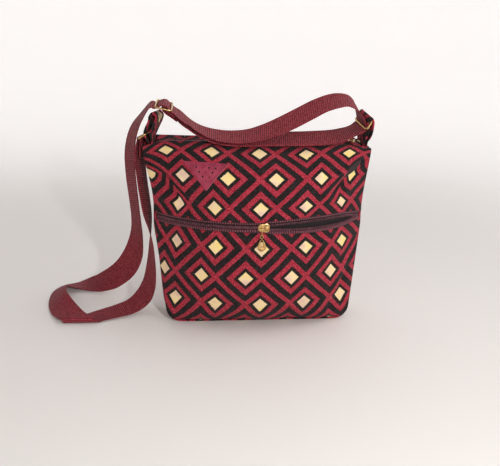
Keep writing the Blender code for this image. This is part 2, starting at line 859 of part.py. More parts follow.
# Webbing. A route is a list of (place, direction across) pairs.


def spline_point(a, b, c, d, t):
    """Catmull-Rom between b and c."""
    return 0.5 * (2 * b + (c - a) * t + (2 * a - 5 * b + 4 * c - d) * t**2
                  + (3 * b - 3 * c + d - a) * t**3)


def smooth_route(route, steps):
    places = [Vector(p) for p, _ in route]
    across = [Vector(w) for _, w in route]
    out = []
    last = len(route) - 1
    for i in range(last):
        picks = [max(0, i - 1), i, i + 1, min(last, i + 2)]
        for k in range(steps[i]):
            t = k / steps[i]
            out.append((spline_point(*[places[j] for j in picks], t),
                        spline_point(*[across[j] for j in picks], t)))
    out.append((places[-1], across[-1]))
    return out


def webbing(name, stations, thickness, finish):
    """A flat band through stations, as wide across its run where a station lies aslant."""
    points = []
    last = len(stations) - 1
    for i, (place, across) in enumerate(stations):
        run = (stations[min(last, i + 1)][0] - stations[max(0, i - 1)][0]).normalized()
        across = across.normalized()
        out = run.cross(across)
        half = STRAP_WIDTH / 2 / out.length
        out.normalize()
        for u, v in ((-1, -1), (1, -1), (1, 1), (-1, 1)):
            points.append(place + across * (u * half) + out * (v * thickness / 2))
    return points_to_bar(name, points, 4, finish)


LEFT_CORNER = Vector((-TOP_WIDTH / 2, 0, BAG_HEIGHT))
RIGHT_CORNER = Vector((TOP_WIDTH / 2, 0, BAG_HEIGHT))
LEFT_BAR_RUN = Vector((0.20, 0.98, 0.0)).normalized()
LEFT_RING_LEAN = Vector((0.0115, -0.0010, 0.0070))
LEFT_INNER_BAR = LEFT_CORNER + Vector((0.00487, -0.00122, 0.01127))
RIGHT_BAR_RUN = Vector((-0.17, 0.96, 0.215)).normalized()
RIGHT_RING_LEAN = Vector((0.0071, -0.0024, 0.0109))
RIGHT_INNER_BAR = RIGHT_CORNER + Vector((-0.00439, -0.00606, 0.0328))


def ring_reach(run, lean):
    """Direction from a ring's outer bar to its inner one, square to both."""
    return (lean - run * lean.dot(run)).normalized()


LEFT_BAR = LEFT_INNER_BAR - ring_reach(LEFT_BAR_RUN, LEFT_RING_LEAN) * RING_BAR_SPACING
RIGHT_BAR = RIGHT_INNER_BAR - ring_reach(RIGHT_BAR_RUN, RIGHT_RING_LEAN) * RING_BAR_SPACING

# Tabs, by distance from the bag's corner along X and above the rim
LEFT_TAB = [
    (0.0042, -0.0132), (0.0038, -0.0040), (0.0020, 0.0045), (0.0016, 0.0120), (0.0046, 0.0210),
    (0.0082, 0.0280), (0.0098, 0.0350), (0.0140, 0.0398), (0.0188, 0.0345), (0.0170, 0.0270),
    (0.0130, 0.0190), (0.0092, 0.0110), (0.0086, 0.0020), (0.0090, -0.0132),
]
RIGHT_TAB = [
    (-0.0090, -0.0132), (-0.0088, -0.0040), (-0.0076, 0.0060), (-0.0063, 0.0150), (-0.0062, 0.0222),
    (-0.0087, 0.0312), (-0.0046, 0.0372), (-0.0007, 0.0320), (-0.0004, 0.0240), (-0.0010, 0.0160),
    (-0.0024, 0.0075), (-0.0040, -0.0020), (-0.0042, -0.0132),
]
RIGHT_TAB_LEAN = 0.22
TAB_TURN_START = -0.002
TAB_TURN_RUN = 0.014


def tab(name, corner, outline, bar_run, lean):
    """A folded strip of fabric standing on the end of the bag, its width turning with its ring."""
    route = []
    for along, rise in outline:
        turn = smooth_step((rise - TAB_TURN_START) / TAB_TURN_RUN)
        across = Vector((0, 1, 0)).lerp(bar_run, turn)
        route.append((corner + Vector((along, -lean * max(0.0, rise), rise)), across))
    stations = smooth_route(route, [3] * (len(route) - 1))
    webbing(name, stations, TAB_THICKNESS, "woven_fabric")


def rectangle_ring(name, bar, inner, run, wire, corner):
    """A rectangular ring through two parallel bars, its origin on the inner one."""
    reach = (inner - bar).normalized()
    half = STRAP_WIDTH / 2 + wire + ADJUSTER_SIDE_ROOM
    points = []
    for centre, u, v, first in (
        (bar, 1, 1, -90), (inner, 1, -1, 0), (inner, -1, -1, 90), (bar, -1, 1, 180),
    ):
        pivot_point = centre + run * (u * (half - corner)) + reach * (v * corner)
        for k in range(4):
            t = math.radians(first + 30 * k)
            points.append(pivot_point + run * (corner * math.cos(t)) + reach * (corner * math.sin(t)))
    ring = curve_mesh(name, points, wire, True, "gold_metal")
    pivot(ring, inner)
    return ring


ADJUSTER_PLACE = LEFT_CORNER + Vector((0.0269, -0.0151, 0.0502))
ADJUSTER_RUN = Vector((0.972, 0.04, -0.225)).normalized()
ADJUSTER_ACROSS = Vector((-0.008, 0.985, 0.14))
ADJUSTER_ACROSS -= ADJUSTER_RUN * ADJUSTER_ACROSS.dot(ADJUSTER_RUN)
ADJUSTER_ACROSS.normalize()


def adjuster_place(along, out):
    """A place in the adjuster's own frame, on the middle line of the strap."""
    return ADJUSTER_PLACE + ADJUSTER_RUN * along + ADJUSTER_RUN.cross(ADJUSTER_ACROSS) * out


def strap_adjuster():
    """Sliding buckle: a flat frame with a bar across its middle."""
    across = ADJUSTER_ACROSS
    half = STRAP_WIDTH / 2 + ADJUSTER_WIRE + ADJUSTER_SIDE_ROOM
    reach = ADJUSTER_LENGTH / 2 - ADJUSTER_WIRE
    points = []
    for u, v, first in ((1, 1, 0), (-1, 1, 90), (-1, -1, 180), (1, -1, 270)):
        centre_u = u * (reach - ADJUSTER_CORNER)
        centre_v = v * (half - ADJUSTER_CORNER)
        for k in range(4):
            t = math.radians(first + 30 * k)
            along = centre_u + ADJUSTER_CORNER * math.cos(t)
            wide = centre_v + ADJUSTER_CORNER * math.sin(t)
            points.append(ADJUSTER_PLACE + ADJUSTER_RUN * along + across * wide)
    frame = curve_mesh("strap_adjuster", points, ADJUSTER_WIRE, True, "gold_metal")
    ends = [ADJUSTER_PLACE + across * (side * half) for side in (-1, 1)]
    bar = curve_mesh("adjuster_bar", ends, ADJUSTER_BAR, False, None)
    join_bodies(frame, [bar])


def wrap_points(bar, run, first, last, count, radius):
    """Places round a bar, from one angle to another; 0 is +X and 90 is up."""
    side = Vector((1, 0, 0))
    side = (side - run * side.dot(run)).normalized()
    up = side.cross(run)
    up = up if up.z > 0 else -up
    made = []
    for i in range(count):
        t = math.radians(lerp(first, last, i / (count - 1)))
        made.append((bar + side * (radius * math.cos(t)) + up * (radius * math.sin(t)), run))
    return made


WRAP_RADIUS = RING_WIRE + FIT_GAP + STRAP_THICKNESS / 2

# From the left ring, down beside the bag, round on the floor and up to the adjuster:
# distance past the bag's left corner, depth, and share of the bag's height
HANGING_ROUTE = [
    ((-0.0112, 0.0010, 0.9485), (0.26, 0.95, -0.05)),
    ((-0.0115, 0.0010, 0.8824), (0.26, 0.92, -0.20)),
    ((-0.0100, 0.0010, 0.7904), (0.26, 0.92, -0.25)),
    ((-0.0075, 0.0010, 0.6985), (0.26, 0.94, -0.23)),
    ((-0.0045, 0.0010, 0.5956), (0.20, 0.94, -0.22)),
    ((-0.0015, 0.0010, 0.5074), (-0.02, 0.97, -0.20)),
    ((-0.0010, 0.0010, 0.4265), (-0.22, 0.93, -0.20)),
    ((-0.0015, 0.0010, 0.3456), (-0.34, 0.92, -0.12)),
    ((-0.0035, 0.0040, 0.2574), (-0.46, 0.88, 0.00)),
    ((-0.0080, 0.0080, 0.1691), (-0.54, 0.82, 0.10)),
    ((-0.0190, 0.0110, 0.0882), (-0.58, 0.78, 0.16)),
    ((-0.0370, 0.0085, 0.0368), (-0.44, 0.88, 0.18)),
    ((-0.0600, 0.0010, 0.0191), (-0.32, 0.94, 0.10)),
    ((-0.0830, -0.0085, 0.0096), (-0.50, 0.86, 0.02)),
    ((-0.0965, -0.0180, 0.0059), (-0.78, 0.50, 0.00)),
    ((-0.1055, -0.0275, 0.0059), (-1.00, 0.05, 0.00)),
    ((-0.1084, -0.0303, 0.0096), (-1.00, 0.00, 0.00)),
    ((-0.1105, -0.0315, 0.0184), (-1.00, 0.00, 0.00)),
    ((-0.1126, -0.0303, 0.0272), (-1.00, 0.00, 0.00)),
    ((-0.1155, -0.0275, 0.0316), (-1.00, -0.05, 0.00)),
    ((-0.1260, -0.0160, 0.0338), (-0.88, -0.40, -0.08)),
    ((-0.1410, 0.0040, 0.0412), (-0.84, -0.38, -0.40)),
    ((-0.1540, 0.0280, 0.0533), (-0.75, -0.05, -0.60)),
    ((-0.1610, 0.0560, 0.0515), (-0.70, 0.20, -0.56)),
    ((-0.1620, 0.0820, 0.0434), (-0.60, 0.52, -0.40)),
    ((-0.1530, 0.1020, 0.0272), (-0.50, 0.78, -0.22)),
    ((-0.1370, 0.1110, 0.0147), (-0.36, 0.92, -0.05)),
    ((-0.1190, 0.1080, 0.0257), (-0.34, 0.92, 0.12)),
    ((-0.0970, 0.0980, 0.0551), (-0.40, 0.82, 0.32)),
    ((-0.0730, 0.0850, 0.1103), (-0.52, 0.52, 0.60)),
    ((-0.0510, 0.0720, 0.1912), (-0.66, 0.34, 0.60)),
    ((-0.0360, 0.0620, 0.2941), (-0.72, 0.56, 0.32)),
    ((-0.0290, 0.0540, 0.4118), (-0.58, 0.80, 0.02)),
    ((-0.0280, 0.0490, 0.5221), (-0.46, 0.86, -0.16)),
    ((-0.0295, 0.0440, 0.6471), (-0.45, 0.86, -0.20)),
    ((-0.0310, 0.0380, 0.7721), (-0.47, 0.86, -0.18)),
    ((-0.0305, 0.0320, 0.8897), (-0.47, 0.86, -0.14)),
    ((-0.0260, 0.0220, 0.9853), (-0.40, 0.90, -0.02)),
    ((-0.0182, 0.0110, 1.0588), (-0.30, 0.93, 0.06)),
    ((-0.0078, 0.0000, 1.1158), (-0.14, 0.95, 0.12)),
]

# From the adjuster over the bag's top to the right ring, which it goes round:
# share of the half width, depth, and height above the rim
UPPER_ROUTE = [
    ((-0.6258, -0.0262, 0.0299), (-0.03, 0.99, 0.11)),
    ((-0.5472, -0.0305, 0.0218), (0.00, 0.99, 0.13)),
    ((-0.4717, -0.0335, 0.0162), (0.01, 0.98, 0.19)),
    ((-0.3774, -0.0350, 0.0118), (0.01, 0.96, 0.27)),
    ((-0.2642, -0.0367, 0.0096), (0.03, 0.95, 0.31)),
    ((-0.1195, -0.0380, 0.0105), (0.06, 0.93, 0.36)),
    ((0.0220, -0.0380, 0.0158), (0.08, 0.89, 0.44)),
    ((0.1717, -0.0368, 0.0247), (0.12, 0.84, 0.52)),
    ((0.3145, -0.0345, 0.0348), (0.15, 0.81, 0.56)),
    ((0.4623, -0.0311, 0.0460), (0.18, 0.82, 0.54)),
    ((0.6176, -0.0249, 0.0552), (0.22, 0.87, 0.43)),
    ((0.7585, -0.0160, 0.0570), (0.20, 0.93, 0.31)),
    ((0.8239, -0.0125, 0.0538), (0.12, 0.95, 0.28)),
    ((0.8774, -0.0095, 0.0465), (0.00, 0.96, 0.25)),
    ((0.9170, -0.0065, 0.0345), (-0.13, 0.96, 0.22)),
]

# Back from the right ring under the upper layer to the sewn end on the adjuster's bar
LOWER_ROUTE = [
    ((0.8805, -0.0080, 0.0158), (-0.14, 0.96, 0.18)),
    ((0.7987, -0.0135, 0.0112), (-0.02, 0.95, 0.24)),
    ((0.6541, -0.0230, 0.0070), (0.08, 0.92, 0.34)),
    ((0.4340, -0.0330, 0.0065), (0.08, 0.92, 0.37)),
    ((0.2201, -0.0365, 0.0065), (0.06, 0.92, 0.38)),
    ((0.0314, -0.0370, 0.0065), (0.06, 0.92, 0.38)),
    ((-0.1509, -0.0372, 0.0058), (0.04, 0.93, 0.36)),
    ((-0.3019, -0.0360, 0.0062), (0.02, 0.95, 0.31)),
    ((-0.4151, -0.0342, 0.0088), (0.01, 0.97, 0.24)),
    ((-0.5346, -0.0308, 0.0160), (0.00, 0.98, 0.17)),
    ((-0.6352, -0.0255, 0.0255), (-0.02, 0.98, 0.12)),
]

ADJUSTER_OVER = [(-0.0190, -0.0036), (-0.0135, -0.0030), (-0.0085, -0.0012), (-0.0045, 0.0026),
                 (0.0, 0.0042), (0.0045, 0.0026), (0.0085, -0.0012), (0.0135, -0.0033),
                 (0.0185, -0.0058)]
ADJUSTER_BAR = ADJUSTER_WIRE * 0.9
ADJUSTER_IN = [(0.0200, -0.0096), (0.0130, -0.0066), (0.0082, -0.0044), (0.0044, -0.0018)]
ADJUSTER_TAIL = [(0.0016, -0.0044), (0.0062, -0.0072), (0.0130, -0.0098), (0.0215, -0.0138)]


def beside_bag(route):
    left = TOP_WIDTH / 2
    return [((past - left, y, share * BAG_HEIGHT), across) for (past, y, share), across in route]


def over_bag(route):
    half = TOP_WIDTH / 2
    return [((share * half, y, BAG_HEIGHT + rise), across) for (share, y, rise), across in route]


def adjuster_wrap():
    """Round the adjuster's bar, from its right side over the top to its underside."""
    radius = ADJUSTER_BAR + FIT_GAP + STRAP_THICKNESS / 2
    turn = [math.radians(t) for t in (0, 30, 60, 90, 120, 150, 180, 210, 240)]
    return [(radius * math.cos(t), radius * math.sin(t)) for t in turn]


def strap():
    """One length of webbing, sewn to the left ring at one end and to the adjuster at the other."""
    left = wrap_points(LEFT_BAR, LEFT_BAR_RUN, -30, 200, 9, WRAP_RADIUS)
    tail = [(LEFT_BAR + Vector((0, 0, -0.0265)), LEFT_BAR_RUN), (LEFT_BAR + Vector((0.0007, 0, -0.0095)), LEFT_BAR_RUN)]
    over = [(adjuster_place(a, o), ADJUSTER_ACROSS) for a, o in ADJUSTER_OVER]
    right = wrap_points(RIGHT_BAR, RIGHT_BAR_RUN, 40, -110, 6, WRAP_RADIUS)
    round_bar = ADJUSTER_IN + adjuster_wrap() + ADJUSTER_TAIL
    wrap = [(adjuster_place(a, o), ADJUSTER_ACROSS) for a, o in round_bar]
    route = tail + left + beside_bag(HANGING_ROUTE) + over + over_bag(UPPER_ROUTE)
    route += right + over_bag(LOWER_ROUTE) + wrap
    route = [(Vector(p), Vector(w)) for p, w in route]
    steps = []
    for i in range(len(route) - 1):
        gap = (route[i + 1][0] - route[i][0]).length
        steps.append(1 if gap < 0.007 else 2 if gap < 0.016 else 3)
    stations = smooth_route(route, steps)
    length = sum((b[0] - a[0]).length for a, b in zip(stations, stations[1:]))
    print(f"strap length {length:.3f} m")
    webbing("strap", stations, STRAP_THICKNESS, "webbing")


front_panels()
back_panel()
gusset("gusset_left", -1)
gusset("gusset_right", 1)
base_panel()
top_strip("top_strip_front", -1)
top_strip("top_strip_back", 1)
pocket_lining()
main_lining()
front_zipper()
top_zipper()
leather_patch()
tab("tab_left", LEFT_CORNER, LEFT_TAB, LEFT_BAR_RUN, 0.0)
tab("tab_right", RIGHT_CORNER, RIGHT_TAB, RIGHT_BAR_RUN, RIGHT_TAB_LEAN)
rectangle_ring("ring_left", LEFT_BAR, LEFT_INNER_BAR, LEFT_BAR_RUN, RING_WIRE, RING_CORNER)
rectangle_ring("ring_right", RIGHT_BAR, RIGHT_INNER_BAR, RIGHT_BAR_RUN, RING_WIRE, RING_CORNER)
strap_adjuster()
strap()
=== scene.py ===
from functools import partial
from math import asin, copysign, cos, exp, hypot, pi, radians, sin, sqrt

import bmesh
import bpy
from mathutils import Matrix, Vector


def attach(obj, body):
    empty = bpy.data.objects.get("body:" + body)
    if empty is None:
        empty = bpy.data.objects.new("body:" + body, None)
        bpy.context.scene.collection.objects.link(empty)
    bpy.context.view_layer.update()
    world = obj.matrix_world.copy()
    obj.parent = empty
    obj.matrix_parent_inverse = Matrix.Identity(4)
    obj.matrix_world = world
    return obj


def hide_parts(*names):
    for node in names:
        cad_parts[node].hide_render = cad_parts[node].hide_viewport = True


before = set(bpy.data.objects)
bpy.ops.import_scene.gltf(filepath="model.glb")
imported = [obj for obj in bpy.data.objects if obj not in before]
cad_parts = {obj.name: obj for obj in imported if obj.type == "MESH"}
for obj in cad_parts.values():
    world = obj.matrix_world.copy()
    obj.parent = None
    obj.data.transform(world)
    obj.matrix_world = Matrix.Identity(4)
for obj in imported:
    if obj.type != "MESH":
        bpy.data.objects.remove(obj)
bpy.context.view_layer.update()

# Sizes of the bag, in metres, the same as its solids
BAG_HEIGHT = 0.272
BASE_WIDTH = 0.274
TOP_WIDTH = 0.318
BASE_DEPTH = 0.060
TOP_DEPTH = 0.049
FRONT_CROWN = 0.068
BACK_CROWN = 0.016
CORNER_RADIUS = 0.022
SEAM_LIFT = 0.0035
RIM_CROWN_SHARE = 0.2
FRONT_ZIP_HEIGHT = 0.167
ZIP_FLAT_HALF = 0.016
ZIP_MOUTH_HALF = 0.007
POCKET_DEPTH = 0.011
FABRIC = 0.0022
LINING = 0.0008
TAPE = 0.0006
COIL_BASE = 0.0009
COIL_TOP = 0.0025
STRIP_TOP = 0.2717
STRIP_HALF_LENGTH = 0.1468
FRONT_SLIDER_X = 0.0022
TOP_SLIDER_X = 0.1345
STRAP_WIDTH = 0.038
STRAP_THICKNESS = 0.0015
TAB_THICKNESS = 0.0024
RING_WIRE = 0.0014
RING_BAR_SPACING = 0.013
ADJUSTER_WIRE = 0.0012

# The rim is a little higher on the left
RIM_TILT = 0.0047

# The woven pattern, in millimetres: its steps along and up, how far a cream diamond reaches,
# the red ring round it, half the width of a zigzag, and the threads as drawn
DIAMOND_STEP_MM = 64.0
DIAMOND_ROW_MM = 43.0
CREAM_REACH_MM = 10.3
RED_RING_MM = (17.0, 26.3)
ZIGZAG_HALF_MM = 4.6
THREAD_MM = 0.9


# Colour and shader helpers


def hex_colour(code):
    """sRGB hex to the linear colour that a shader takes."""
    channels = [int(code[i:i + 2], 16) / 255 for i in (0, 2, 4)]
    return (*[c / 12.92 if c <= 0.04045 else ((c + 0.055) / 1.055) ** 2.4 for c in channels], 1.0)


def add_node(tree, kind, sockets=None, stops=(), **settings):
    """Adds a shader node with its settings, ramp stops, values and links; gives its main output."""
    node = tree.nodes.new("ShaderNode" + kind)
    for name, value in settings.items():
        setattr(node, name, value)
    for i, (place, code) in enumerate(stops):
        ramp = node.color_ramp.elements
        stop = ramp[i] if i < 2 else ramp.new(place)
        stop.position, stop.color = place, hex_colour(code)
    for socket, value in (sockets or {}).items():
        if isinstance(value, bpy.types.NodeSocket):
            tree.links.new(value, node.inputs[socket])
        else:
            node.inputs[socket].default_value = value
    return next(output for output in node.outputs if output.enabled)


def new_material(name, **sockets):
    """A Principled material with its uniform values on the shader's own sockets."""
    material = bpy.data.materials.new(name)
    material.use_nodes = True
    shader = material.node_tree.nodes["Principled BSDF"]
    for socket, value in sockets.items():
        shader.inputs[socket.replace("_", " ")].default_value = value
    return material, shader, partial(add_node, material.node_tree)


def join(shader, **sources):
    """Links outputs to the shader's sockets."""
    for socket, source in sources.items():
        shader.id_data.links.new(source, shader.inputs[socket.replace("_", " ")])


def thread_wave(add, place, pitch):
    """Over and under of threads that lie a pitch of millimetres apart."""
    turn = add("Math", {0: place, 1: 2 * pi / pitch}, operation="MULTIPLY")
    return add("Math", {0: turn}, operation="SINE")


def cloudy_tone(add, scale, detail, *stops):
    """Coordinates of the piece, in metres, and a colour that drifts over them."""
    place = add("TexCoord").node.outputs["Object"]
    cloud = add("TexNoise", {"Vector": place, "Scale": scale, "Detail": detail})
    return place, add("ValToRGB", {0: cloud}, stops)


# Materials; the UV map named cloth holds millimetres along and up each piece of cloth

THREAD_RELIEF = {"Strength": 0.8, "Distance": 0.0004}


def jacquard_fabric():
    """Thick jacquard upholstery weave, matt: cream diamonds ringed in black and red, on zigzags.

    Threads are drawn 0.9 mm apart, coarser than the real 0.5 mm, so that they show.
    """
    material, shader, add = new_material(
        "brocade_jacquard_weave", Roughness=0.88, IOR=1.5, Specular_IOR_Level=0.22,
        Sheen_Weight=0.03)
    uv = add("UVMap", uv_map="cloth")
    # Threads step the edges of the pattern, as a loom does
    snapped = add("VectorMath", {0: uv, 1: (THREAD_MM, THREAD_MM, 1)}, operation="SNAP")
    along, up, _ = add("SeparateXYZ", {0: snapped}).node.outputs
    half_step, shift = DIAMOND_STEP_MM / 2, DIAMOND_STEP_MM - DIAMOND_ROW_MM
    reach, rise = [], []
    for x0, y0 in ((0.0, 0.0), (shift, DIAMOND_ROW_MM)):
        far = []
        for place, start, half in ((along, x0, half_step), (up, y0, DIAMOND_ROW_MM)):
            moved = add("Math", {0: place, 1: start}, operation="SUBTRACT")
            wrapped = add("Math", {0: moved, 1: half, 2: -half}, operation="WRAP")
            far.append(add("Math", {0: wrapped}, operation="ABSOLUTE"))
        reach.append(add("Math", {0: far[0], 1: far[1]}, operation="ADD"))
        rise.append(far[1])
    diamond = add("Math", {0: reach[0], 1: reach[1]}, operation="MINIMUM")
    # The zigzag leans out by as much as the height above the row
    moved = add("Math", {0: along, 1: shift}, operation="SUBTRACT")
    leaning = add("Math", {0: moved, 1: rise[0]}, operation="SUBTRACT")
    wrapped = add("Math", {0: leaning, 1: half_step, 2: -half_step}, operation="WRAP")
    beside = add("Math", {0: wrapped}, operation="ABSOLUTE")
    zigzag = add("Math", {0: beside, 1: ZIGZAG_HALF_MM}, operation="LESS_THAN")
    beyond = add("Math", {0: diamond, 1: RED_RING_MM[0]}, operation="GREATER_THAN")
    within = add("Math", {0: diamond, 1: RED_RING_MM[1]}, operation="LESS_THAN")
    ring = add("Math", {0: beyond, 1: within}, operation="MULTIPLY")
    red = add("Math", {0: ring, 1: zigzag}, operation="MAXIMUM")
    pale = add("Math", {0: diamond, 1: CREAM_REACH_MM}, operation="LESS_THAN")
    # Dye varies from thread to thread and slowly over the cloth
    fleck, tint = add("TexWhiteNoise", {0: snapped}, noise_dimensions="2D").node.outputs
    drift = add("TexNoise", {"Vector": uv, "Scale": 0.03, "Detail": 3.0})
    reds = add("ValToRGB", {0: fleck}, [(0, "74101F"), (0.45, "A02232"), (1, "C4485A")])
    blacks = add("ValToRGB", {0: fleck}, [(0, "070506"), (0.55, "171112"), (1, "3A3031")])
    creams = add("ValToRGB", {0: drift}, [(0.36, "F8DC8E"), (0.5, "F6DAAA"), (0.62, "E6C6AE")])
    flecked = add("Mix", {0: 0.3, 6: creams, 7: tint}, data_type="RGBA", blend_type="SOFT_LIGHT")
    ground = add("Mix", {0: red, 6: blacks, 7: reds}, data_type="RGBA")
    cloth = add("Mix", {0: pale, 6: ground, 7: flecked}, data_type="RGBA")
    # Over and under of the threads, with the pattern's yarns standing a little proud of the ground
    x_mm, y_mm, _ = add("SeparateXYZ", {0: uv}).node.outputs
    warp, weft = thread_wave(add, x_mm, 2 * THREAD_MM), thread_wave(add, y_mm, THREAD_MM)
    weave = add("Math", {0: warp, 1: weft}, operation="MULTIPLY")
    proud = add("Math", {0: red, 1: 1.2, 2: pale}, operation="MULTIPLY_ADD")
    height = add("Math", {0: weave, 1: 0.5, 2: proud}, operation="MULTIPLY_ADD")
    join(shader, Base_Color=cloth, Normal=add("Bump", {**THREAD_RELIEF, "Height": height}))
    return material


def ribbed_webbing():
    """Woven nylon webbing: crosswise ribs with a soft shine and a painted highlight on their crests,
    and fine lengthwise warp threads.

    Ribs are drawn 3 mm apart, coarser than the real 1.3 mm, so that they show.
    """
    material, shader, add = new_material(
        "nylon_webbing_ribbed", Roughness=0.62, IOR=1.53, Specular_IOR_Level=0.2, Sheen_Weight=0.03,
        Sheen_Roughness=0.35, Sheen_Tint=hex_colour("C98A92"))
    uv = add("UVMap", uv_map="cloth")
    along, across, _ = add("SeparateXYZ", {0: uv}).node.outputs
    rib, warp = thread_wave(add, along, 3.0), thread_wave(add, across, 1.4)
    yarn = add("Math", {0: warp, 1: 0.35, 2: rib}, operation="MULTIPLY_ADD")
    # Dye takes unevenly, in spots of 1.5 mm
    spots = add("VectorMath", {0: uv, 1: (1.5, 1.5, 1)}, operation="SNAP")
    fleck = add("TexWhiteNoise", {0: spots}, noise_dimensions="2D")
    # Painted highlight and shade: rib and warp crests are lighter, their hollows darker, over the
    # dye spots
    painted_crest_light = add("Math", {0: yarn, 1: 0.24, 2: 0.30}, operation="MULTIPLY_ADD")
    dye_spots_and_crest_light = add("Math", {0: fleck, 1: 0.4, 2: painted_crest_light}, operation="MULTIPLY_ADD")
    dye = add("ValToRGB", {0: dye_spots_and_crest_light}, [(0.1, "460D15"), (0.5, "7E242D"), (0.9, "B24A54")])
    join(shader, Base_Color=dye, Normal=add("Bump", {**THREAD_RELIEF, "Height": yarn}))
    return material


def zipper_tape_cloth():
    """Woven polyester tape: lengthwise cords with a dull sheen and a painted highlight on their
    crests, and painted shade in the groove beside the coil.

    Picks are drawn 3.4 mm apart, coarser than the real 0.8 mm, so that they show.
    """
    material, shader, add = new_material(
        "polyester_zipper_tape", Roughness=0.65, IOR=1.5, Specular_IOR_Level=0.3, Sheen_Weight=0.05,
        Sheen_Roughness=0.4)
    along, across, _ = add("SeparateXYZ", {0: add("UVMap", uv_map="cloth")}).node.outputs
    pick, cord = thread_wave(add, along, 3.4), thread_wave(add, across, 1.7)
    yarn = add("Math", {0: pick, 1: 1.3, 2: cord}, operation="MULTIPLY_ADD")
    # Painted highlight and shade: pick and cord crests are lighter, their hollows darker
    painted_crest_light = add("Math", {0: yarn, 1: 0.2, 2: 0.5}, operation="MULTIPLY_ADD")
    dye = add("ValToRGB", {0: painted_crest_light}, [(0.15, "22090F"), (0.5, "5A2934"), (0.85, "A2646F")])
    # Painted shade: the groove beside the coil is almost black as far as 3.1 mm from the middle
    edge = add("MapRange", {0: across, 1: 3.1, 2: 3.9, 3: 0.0, 4: 1.0})
    tape = add("Mix", {0: edge, 6: hex_colour("14070B"), 7: dye}, data_type="RGBA")
    join(shader, Base_Color=tape, Normal=add("Bump", {**THREAD_RELIEF, "Height": yarn}))
    return material


def coil_nylon():
    """Nylon monofilament: smooth with a low gloss, slightly uneven in dye."""
    material, shader, add = new_material("moulded_nylon_coil", Roughness=0.38, IOR=1.53)
    _, dye = cloudy_tone(add, 420.0, 2.0, (0.35, "2E1018"), (0.65, "8A505E"))
    join(shader, Base_Color=dye)
    return material


def plated_gold():
    """Pale gold plate on a zinc casting: bright, with faint rub marks and cloudy patches."""
    material, shader, add = new_material("polished_gold_plate", Metallic=1.0)
    place, tone = cloudy_tone(add, 160.0, 4.0, (0.3, "B78F58"), (0.7, "DBB87E"))
    rub = add("TexNoise", {"Vector": place, "Scale": 900.0, "Detail": 2.0})
    gloss = add("MapRange", {0: rub, 1: 0.3, 2: 0.7, 3: 0.16, 4: 0.32})
    join(shader, Base_Color=tone, Roughness=gloss)
    return material


def dyed_leather():
    """Full-grain calf leather, dyed crimson: a fine pebble of 0.9 mm and slow cloudy colour."""
    material, shader, add = new_material(
        "dyed_leather_embossed", Roughness=0.5, IOR=1.5, Specular_IOR_Level=0.45)
    place, tone = cloudy_tone(add, 90.0, 3.0, (0.3, "74182F"), (0.5, "8C2540"), (0.75, "A0384F"))
    pebble = add("TexVoronoi", {"Vector": place, "Scale": 1100.0})
    worn = add("Mix", {0: 0.25, 6: tone, 7: pebble}, data_type="RGBA", blend_type="OVERLAY")
    relief = add("Bump", {"Strength": 0.35, "Distance": 0.0002, "Height": pebble})
    join(shader, Base_Color=worn, Normal=relief)
    return material


def cut_leather_edge():
    """The undyed fibre that a knife leaves at the leather's edge: pale and chalky."""
    material, shader, add = new_material("raw_cut_leather_edge", Roughness=0.9, IOR=1.5)
    _, tone = cloudy_tone(add, 1500.0, 2.0, (0.3, "B86E7A"), (0.7, "D9A0A6"))
    join(shader, Base_Color=tone)
    return material


def twill_lining():
    """Thin dark polyester lining, twill-woven: diagonal lines 1.2 mm apart and a slight sheen."""
    material, shader, add = new_material(
        "polyester_twill_lining", Roughness=0.7, IOR=1.5, Sheen_Weight=0.1)
    wave = {"Vector": add("UVMap", uv_map="cloth"), "Scale": 0.26, "Distortion": 0.3}
    lines = add("TexWave", wave, bands_direction="DIAGONAL")
    dye = add("ValToRGB", {0: lines}, [(0.2, "150D0F"), (0.8, "281A1D")])
    relief = add("Bump", {"Strength": 0.3, "Distance": 0.0001, "Height": lines})
    join(shader, Base_Color=dye, Normal=relief)
    return material


def sewing_thread():
    """Dark red spun polyester thread, twisted and slightly hairy."""
    material, shader, add = new_material(
        "spun_polyester_thread", Roughness=0.75, IOR=1.5, Sheen_Weight=0.2)
    _, dye = cloudy_tone(add, 2500.0, 2.0, (0.3, "3A1219"), (0.7, "6A2430"))
    join(shader, Base_Color=dye)
    return material


def self_glowing_board():
    """Matt white paint with the faintest roller texture, and a painted glow of its own that grows
    towards its rim.
    """
    material, shader, add = new_material(
        "matt_white_glowing_sweep", Roughness=0.7, Emission_Color=hex_colour("FBFCFF"))
    place = add("TexCoord").node.outputs["Object"]
    _, grain = add("TexNoise", {"Vector": place, "Scale": 3.0, "Detail": 2.0}).node.outputs
    paint = {0: 0.02, 6: hex_colour("F3EFEC"), 7: grain}
    pale = add("Mix", paint, data_type="RGBA", blend_type="OVERLAY")
    away = add("VectorMath", {0: place}, operation="LENGTH")
    rim = {0: away, 1: 0.5, 2: 2.1, 3: 0.0, 4: 0.28}
    painted_rim_glow = add("MapRange", rim, interpolation_type="SMOOTHSTEP")
    # The painted glow is stronger behind and to the right, and leaves the near left side dim
    x, y, _ = add("SeparateXYZ", {0: place}).node.outputs
    bearing = add("Math", {0: y, 1: 0.8, 2: x}, operation="MULTIPLY_ADD")
    share = add("MapRange", {0: bearing, 1: -0.9, 2: 0.3, 3: 0.1, 4: 1.25})
    glow = add("Math", {0: painted_rim_glow, 1: share}, operation="MULTIPLY")
    join(shader, Base_Color=pale, Emission_Strength=glow)
    return material


WEAVE = jacquard_fabric()
WEBBING = ribbed_webbing()
ZIP_TAPE = zipper_tape_cloth()
COIL = coil_nylon()
GOLD = plated_gold()
LEATHER = dyed_leather()
RAW_EDGE = cut_leather_edge()
LINING_CLOTH = twill_lining()
THREAD = sewing_thread()

SHEET_THICKNESS = {WEAVE: FABRIC, LINING_CLOTH: LINING, ZIP_TAPE: TAPE}
SOFT_EDGE = 0.0006


